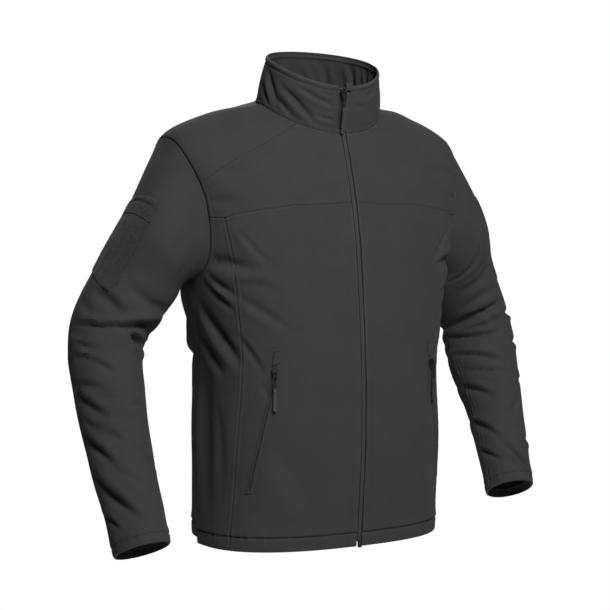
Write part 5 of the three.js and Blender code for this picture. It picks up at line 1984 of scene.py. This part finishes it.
@dataclass
class Collar:
    """The stand-up collar and the curl of cloth over the top of the zip."""

    maker: Maker
    form: CollarForm = field(default_factory=CollarForm)
    tuck: float = 0.9
    curl_x: float = 3.8
    curl_width: float = 11.0
    curl_radius: float = 3.8
    curl_legs: tuple[float, float] = (7.0, 9.0)
    curl_wall: float = 1.4

    def build(self) -> None:
        """Builds and dresses the collar."""
        u, v = np.meshgrid(graded(178, 470, (17, 17)), np.linspace(0.004, 2, 41), indexing="ij")
        near, far = (np.abs(self.form.edge(side, v.ravel())).reshape(v.shape) for side in Side)
        s = np.where(u <= 0.5, -(near + (1 - near) * 2 * u), 1 - (1 - far) * (2 * u - 1))
        share = np.linspace(0, 1, 120)
        around = np.concatenate([-np.linspace(0, 1, 200), np.linspace(1, 0, 200)])
        lines = [SeamLine(laid(self.form, around, np.full(400, v0))[0], edge_kind, seed)
                 for v0, edge_kind, seed in ((0.0, Edge.SET_IN, 3), (2.0, Edge.RIM, 4))]
        for side in Side:
            edge_line = laid(self.form, self.form.edge(side, share * 2), share * 2)[0]
            lines.append(SeamLine(edge_line, Edge.ZIP, 9 + side.sign))
        grid = Grid(*laid(self.form, s, v)).sew(lines)
        grid.points[:, 0, 2] -= self.tuck
        finishes = self.maker.finishes
        piece = self.maker.cloth("collar_cloth", [grid], finishes.shell, finishes.shell)
        self.maker.settle(piece, "shell", ("collar",))
        self.maker.declare(piece, [grid])
        rows = [grid.line(Border.BOTTOM, 8.4), grid.line(Border.TOP, SEAM_STITCHES)]
        rows += [grid.line(Border.START, d, 0, -3) for d in (6.4, 13.0)]
        rows += [grid.line(Border.END, d, 0, -3) for d in (6.4, 13.0)]
        self.maker.sew("stitches_collar", rows)
        self.curl()

    def curl(self) -> None:
        """The strip of cloth that folds over the collar's top edge beside the zip."""
        two = np.array([2.0])
        base, out = laid(self.form, self.form.station_at(two, self.curl_x), two)
        centre, out = base[0] - out[0], out[0]
        along = unit(np.array([1.0, 0, 0]) - out * out[0])
        up = np.cross(along, out)
        up = up if up[2] > 0 else -up
        centre = centre + up * 0.4
        front, back = self.curl_legs
        r = self.curl_radius
        half_turn = np.linspace(0, math.pi, 19)
        out_part = np.concatenate([np.full(8, r), r * np.cos(half_turn), np.full(9, -r)])
        legs = np.linspace(-front, -0.8, 8), np.linspace(-1, -back, 9)
        up_part = np.concatenate([legs[0], r * np.sin(half_turn), legs[1]])
        normal_out = np.concatenate([np.ones(8), np.cos(half_turn), -np.ones(9)])
        normal_up = np.concatenate([np.zeros(8), np.sin(half_turn), np.zeros(9)])
        x = np.linspace(-0.5, 0.5, 12) * self.curl_width
        bulge = 0.5 * (1 - (2 * x / self.curl_width) ** 2)
        places = centre + x[:, None, None] * along
        places = places + out_part[None, :, None] * out + up_part[None, :, None] * up
        normals = normal_out[None, :, None] * out + normal_up[None, :, None] * up
        normals = np.broadcast_to(normals, places.shape)
        grid = Grid(places + normals * bulge[:, None, None], normals.copy(), self.curl_wall)
        finishes = self.maker.finishes
        piece = self.maker.cloth("chin_guard_cloth", [grid], finishes.shell, finishes.shell)
        self.maker.settle(piece, "shell", ("chin_guard",))
        self.maker.declare(piece, [grid], "folded")


# Zips and pockets


@dataclass
class FrontZip:
    """The tapes and the coil of the front zip, and the finish of its slider, pull and bottom stop."""

    maker: Maker
    body: BodyForm
    collar: CollarForm
    profile: tuple[tuple[float, float], ...] = (
        (0.12, 1.6), (0.4, 1.1), (1.2, 0.8), (2.0, 0.9), (2.6, 1.4),
        (2.9, 2.9), (4.9, 3.0), (8.0, 2.5), (16.0, 2.5),
    )
    # rails of the tape's grey face; the other rails get painted shade
    face: int = 5
    tape_wall: float = 0.8
    pitch: float = 1.7

    def rail(self, x: float, sign: int, collar_from: float, body_to: float, depth: float) -> Pair:
        """A line down the front at a distance from the centre, under the cloth's outer face.

        Args:
            x: Distance from the centre line.
            sign: The side.
            collar_from: Where it starts on the collar.
            body_to: Where it ends on the body.
            depth: Millimetres under the outer face.

        Returns:
            Points and directions out of the cloth.
        """
        places, outs = [], []
        above, below = np.linspace(collar_from, 0.05, 40), np.linspace(0.03, body_to, 330)
        for form, stops in ((self.collar, above), (self.body, below)):
            s = form.station_at(stops, x) * sign
            base, out = form.base(s, stops), form.normal(s, stops)
            places.append(base - out * depth)
            outs.append(out)
        return np.concatenate(places), np.concatenate(outs)

    def build(self) -> None:
        """Builds and dresses the zip."""
        finishes = self.maker.finishes
        for side in Side:
            rails = [self.rail(x, side.sign, 1.7, 6.95, depth) for x, depth in self.profile]
            grid = Grid(np.stack([r[0] for r in rails]), np.stack([r[1] for r in rails]), self.tape_wall)
            # marks the face; the rest of the tape gets painted shade
            grid.pale_edge_and_painted_shade[: self.face] = 1.0
            piece = self.maker.cloth(f"zip_tape_cloth_{side.word}", [grid], finishes.tape, finishes.tape)
            self.maker.settle(piece, "tape", (f"zip_tape_{side.word}",))
            self.maker.declare(piece, [grid])
        rail = self.rail(0.01, 1, 1.45, 6.9, 2.6)
        coil = self.maker.row_of("front_coil", Shape.TOOTH, [rail], self.pitch, 0.0,
                                 finishes.moulded, (1.1, 1.0, 1.0))
        self.maker.settle(coil, "moulded", ())
        self.maker.dress("front_slider", finishes.moulded)
        self.maker.dress("front_pull", finishes.front_strip)
        self.maker.dress("zip_box", finishes.moulded)


@dataclass
class Pocket:
    """A slanted pocket zip on a front panel, with its lips, coil, end bars and tab."""

    maker: Maker
    trunk: Trunk
    side: Side
    line: tuple[tuple[float, float], ...] = ((0.597, 0.512), (0.652, 0.602), (0.72, 0.7), (0.831, 0.855))
    half: float = 0.036
    tab: tuple[float, float] = (0.005, 0.13)
    tab_half: float = 0.04
    lip_rise: float = 1.5

    def centre(self, share: Array) -> Array:
        """Shares of the panel's width and length along the pocket, shaped (places, 2).

        Args:
            share: Shares along the pocket.

        Returns:
            The places.
        """
        rows = np.array(self.line)[:, None, :]
        at = share * (len(self.line) - 1)
        made = catmull(np.broadcast_to(rows, (len(self.line), len(share), 2)), at)
        before = np.array(self.line[0]) + (np.array(self.line[1]) - self.line[0]) * at[:, None]
        return np.where(at[:, None] < 0, before, made)

    def band(self, first: float, last: float, steps: int, half: float, columns: int) -> tuple[Grid, Array]:
        """A strip of the panel's surface along the pocket.

        Args:
            first: Share at which it starts.
            last: Share at which it ends.
            steps: Rows.
            half: Half its width as a share of the panel's.
            columns: Columns.

        Returns:
            The grid, and each point's place across it from -1 to 1.
        """
        across, down = np.linspace(-1, 1, columns + 1), np.linspace(first, last, steps + 1)
        x, share = np.meshgrid(across, down, indexing="ij")
        centre = self.centre(share[0])
        u, v = centre[None, :, 0] + x * half, np.broadcast_to(centre[None, :, 1], x.shape)
        s, t = self.trunk.quads()["front"][0].at(u.ravel(), v.ravel())
        return Grid(*laid(self.trunk.form, (s * self.side.sign).reshape(u.shape), t.reshape(u.shape))), x

    def raise_up(self, grid: Grid, rise: Array) -> Grid:
        """Stands a strip proud of the panel, with a wall down to it.

        Args:
            grid: The strip.
            rise: Millimetres at each point.

        Returns:
            The raised grid.
        """
        grid.points = grid.points + grid.normals * rise[..., None]
        grid.walls = np.maximum(rise + 0.5, 0.5)
        return grid

    def build(self) -> None:
        """Builds and dresses the pocket."""
        finishes, word = self.maker.finishes, self.side.word
        grid, x = self.band(-0.005, 1.0, 84, self.half, 16)
        across = np.abs(x) * 7.2
        rise = self.lip_rise * (1 - smooth(across, 3.2, 6.6)) * smooth(across, 1.1, 2.3) + 0.35
        pucker = ripple(grid.away(Border.TOP), 21 + self.side.sign, (11.0, 19.0))
        rise += 0.25 * pucker * smooth(across, 1.5, 3)
        self.raise_up(grid, rise)
        piece = self.maker.cloth(f"pocket_lips_{word}", [grid], finishes.shell, finishes.shell)
        self.maker.settle(piece, "shell", (f"pocket_zip_{word}",))
        self.maker.declare(piece, [grid], "laid")
        middle, _ = self.band(0.0, 0.985, 84, 0.001, 2)
        lines = [(middle.points[1] + middle.normals[1] * 0.9, middle.normals[1])]
        coil = self.maker.row_of(f"pocket_coil_{word}", Shape.TOOTH, lines, 1.7, 0.0, finishes.moulded,
                                 (1.1, 0.5, 1.0))
        self.maker.settle(coil, "moulded", ())
        self.maker.sew(f"stitches_pocket_{word}", [grid.line(Border.START, 1.3), grid.line(Border.END, 1.3)])
        tab, x = self.band(*self.tab, 12, self.tab_half, 10)
        rim = np.minimum.reduce([tab.away(border) for border in Border])
        self.raise_up(tab, 2.0 + 0.9 * np.sqrt(np.clip(rim / 2.0, 0, 1)))
        piece = self.maker.cloth(f"pocket_tab_{word}", [tab], finishes.shell, finishes.shell)
        self.maker.settle(piece, "shell", (f"pocket_garage_{word}",))
        self.maker.declare(piece, [tab], "laid")
        self.bars(word)
        self.maker.dress(f"pocket_slider_{word}", finishes.moulded)
        self.maker.dress(f"pocket_pull_{word}", finishes.pocket_strip)

    def bars(self, word: str) -> None:
        """The thread bars over both ends of the pocket.

        Args:
            word: Side, as used in names.
        """
        lines = []
        for share in (-0.012, 1.0):
            row, _ = self.band(share, share + 0.002, 2, self.half * 0.95, 12)
            lines.append((row.points[:, 1] + row.normals[:, 1] * 1.2, row.normals[:, 1]))
        thread = self.maker.finishes.thread
        piece = self.maker.row_of(f"pocket_bars_{word}", Shape.STITCH, lines, 0.9, 0.0, thread,
                                  (0.75, 3.4, 2.0))
        self.maker.settle(piece, "shell", ())


# The studio


@dataclass(frozen=True)
class Studio:
    """The camera, the pale floor and the soft lights."""

    azimuth: float = -31.0
    elevation: float = 3.8
    distance: float = 3.0
    target: tuple[float, float, float] = (-0.0111, 0.0067, -0.317)
    lens: float = 110.66
    floor_z: float = -1.5
    floor_clear: float = 1.5
    floor_end: float = 2.4
    ambient: float = 0.06
    lamps: tuple[tuple[str, tuple[float, float, float], float, float], ...] = (
        ("key_light", (-0.6, -2.6, 1.7), 1.1, 150.0),
        ("fill_light", (2.6, -1.9, 0.6), 1.6, 9.0),
        ("back_light", (0.9, 2.7, 1.6), 1.8, 60.0),
    )

    def camera(self) -> None:
        """Places the camera at the photograph's angle."""
        data = bpy.data.cameras.new("camera")
        data.lens, data.sensor_width = self.lens, 36.0
        data.dof.use_dof = False
        seen = bpy.data.objects.new("camera", data)
        bpy.context.scene.collection.objects.link(seen)
        a, e = math.radians(self.azimuth), math.radians(self.elevation)
        back = Vector((math.sin(a) * math.cos(e), -math.cos(a) * math.cos(e), math.sin(e)))
        seen.location = Vector(self.target) + back * self.distance
        seen.rotation_euler = back.to_track_quat("Z", "Y").to_euler()
        bpy.context.scene.camera = seen

    def light(self, name: str, place: tuple[float, float, float], size: float, power: float) -> None:
        """One soft square light that faces the jacket.

        Args:
            name: Its name.
            place: Metres.
            size: Its edge in metres.
            power: Watts.
        """
        data = bpy.data.lights.new(name, "AREA")
        data.shape, data.size, data.energy = "SQUARE", size, power
        lamp = bpy.data.objects.new(name, data)
        bpy.context.scene.collection.objects.link(lamp)
        lamp.location = place
        lamp.rotation_euler = (Vector(place) - Vector(self.target)).to_track_quat("Z", "Y").to_euler()

    def floor(self) -> None:
        """A pale round of floor that fades out before its edge."""
        bpy.ops.object.select_all(action="DESELECT")
        bpy.ops.mesh.primitive_plane_add(size=2 * self.floor_end, location=(0, 0, self.floor_z))
        floor = bpy.context.object
        floor.name = "studio_floor"
        tree = FinishTree("studio_floor")
        where = tree.place()
        length = tree.node("ShaderNodeVectorMath", {"operation": "LENGTH"}, {0: where})
        away = Number(tree, length.outputs["Value"])
        fade = ((self.floor_end - away) * (1.0 / (self.floor_end - self.floor_clear))).clipped()
        grain = tree.noise(where, 3.0)
        colour = tree.mix(grain, (0.8, 0.8, 0.8), (0.82, 0.82, 0.82))
        floor.data.materials.append(tree.finish(Base_Color=colour, Roughness=0.95, Alpha=fade))

    def world(self) -> None:
        """A weak even light all round, and a white background."""
        world = bpy.data.worlds.new("studio_world")
        world.use_nodes = True
        nodes, links = world.node_tree.nodes, world.node_tree.links
        around = nodes["Background"]
        around.inputs["Color"].default_value = (1.0, 1.0, 1.0, 1.0)
        around.inputs["Strength"].default_value = self.ambient
        seen = nodes.new("ShaderNodeBackground")
        seen.inputs["Strength"].default_value = 1.0
        seen.inputs["Color"].default_value = (1.0, 1.0, 1.0, 1.0)
        choose = nodes.new("ShaderNodeMixShader")
        links.new(nodes.new("ShaderNodeLightPath").outputs["Is Camera Ray"], choose.inputs[0])
        links.new(around.outputs[0], choose.inputs[1])
        links.new(seen.outputs[0], choose.inputs[2])
        links.new(choose.outputs[0], nodes["World Output"].inputs[0])
        bpy.context.scene.world = world
        bpy.context.scene.view_settings.view_transform = "Standard"

    def build(self) -> None:
        """Builds floor, lights and world."""
        self.floor()
        for name, place, size, power in self.lamps:
            self.light(name, place, size, power)
        self.world()


def main() -> None:
    """Builds the jacket's pieces in order."""
    logging.basicConfig(level=logging.INFO, format="%(name)s %(message)s")
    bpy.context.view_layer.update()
    studio = Studio()
    studio.camera()
    maker = Maker(Finishes())
    trunk = Trunk(maker)
    trunk.build()
    for form in (RIGHT_SLEEVE, LEFT_SLEEVE):
        Sleeve(maker, form).build()
    collar = Collar(maker)
    collar.build()
    FrontZip(maker, trunk.form, collar.form).build()
    for side in Side:
        Pocket(maker, trunk, side).build()
    studio.build()
    LOG.info("%d pieces; sheets %s", maker.count, maker.flats)


if __name__ == "__main__":
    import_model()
    main()
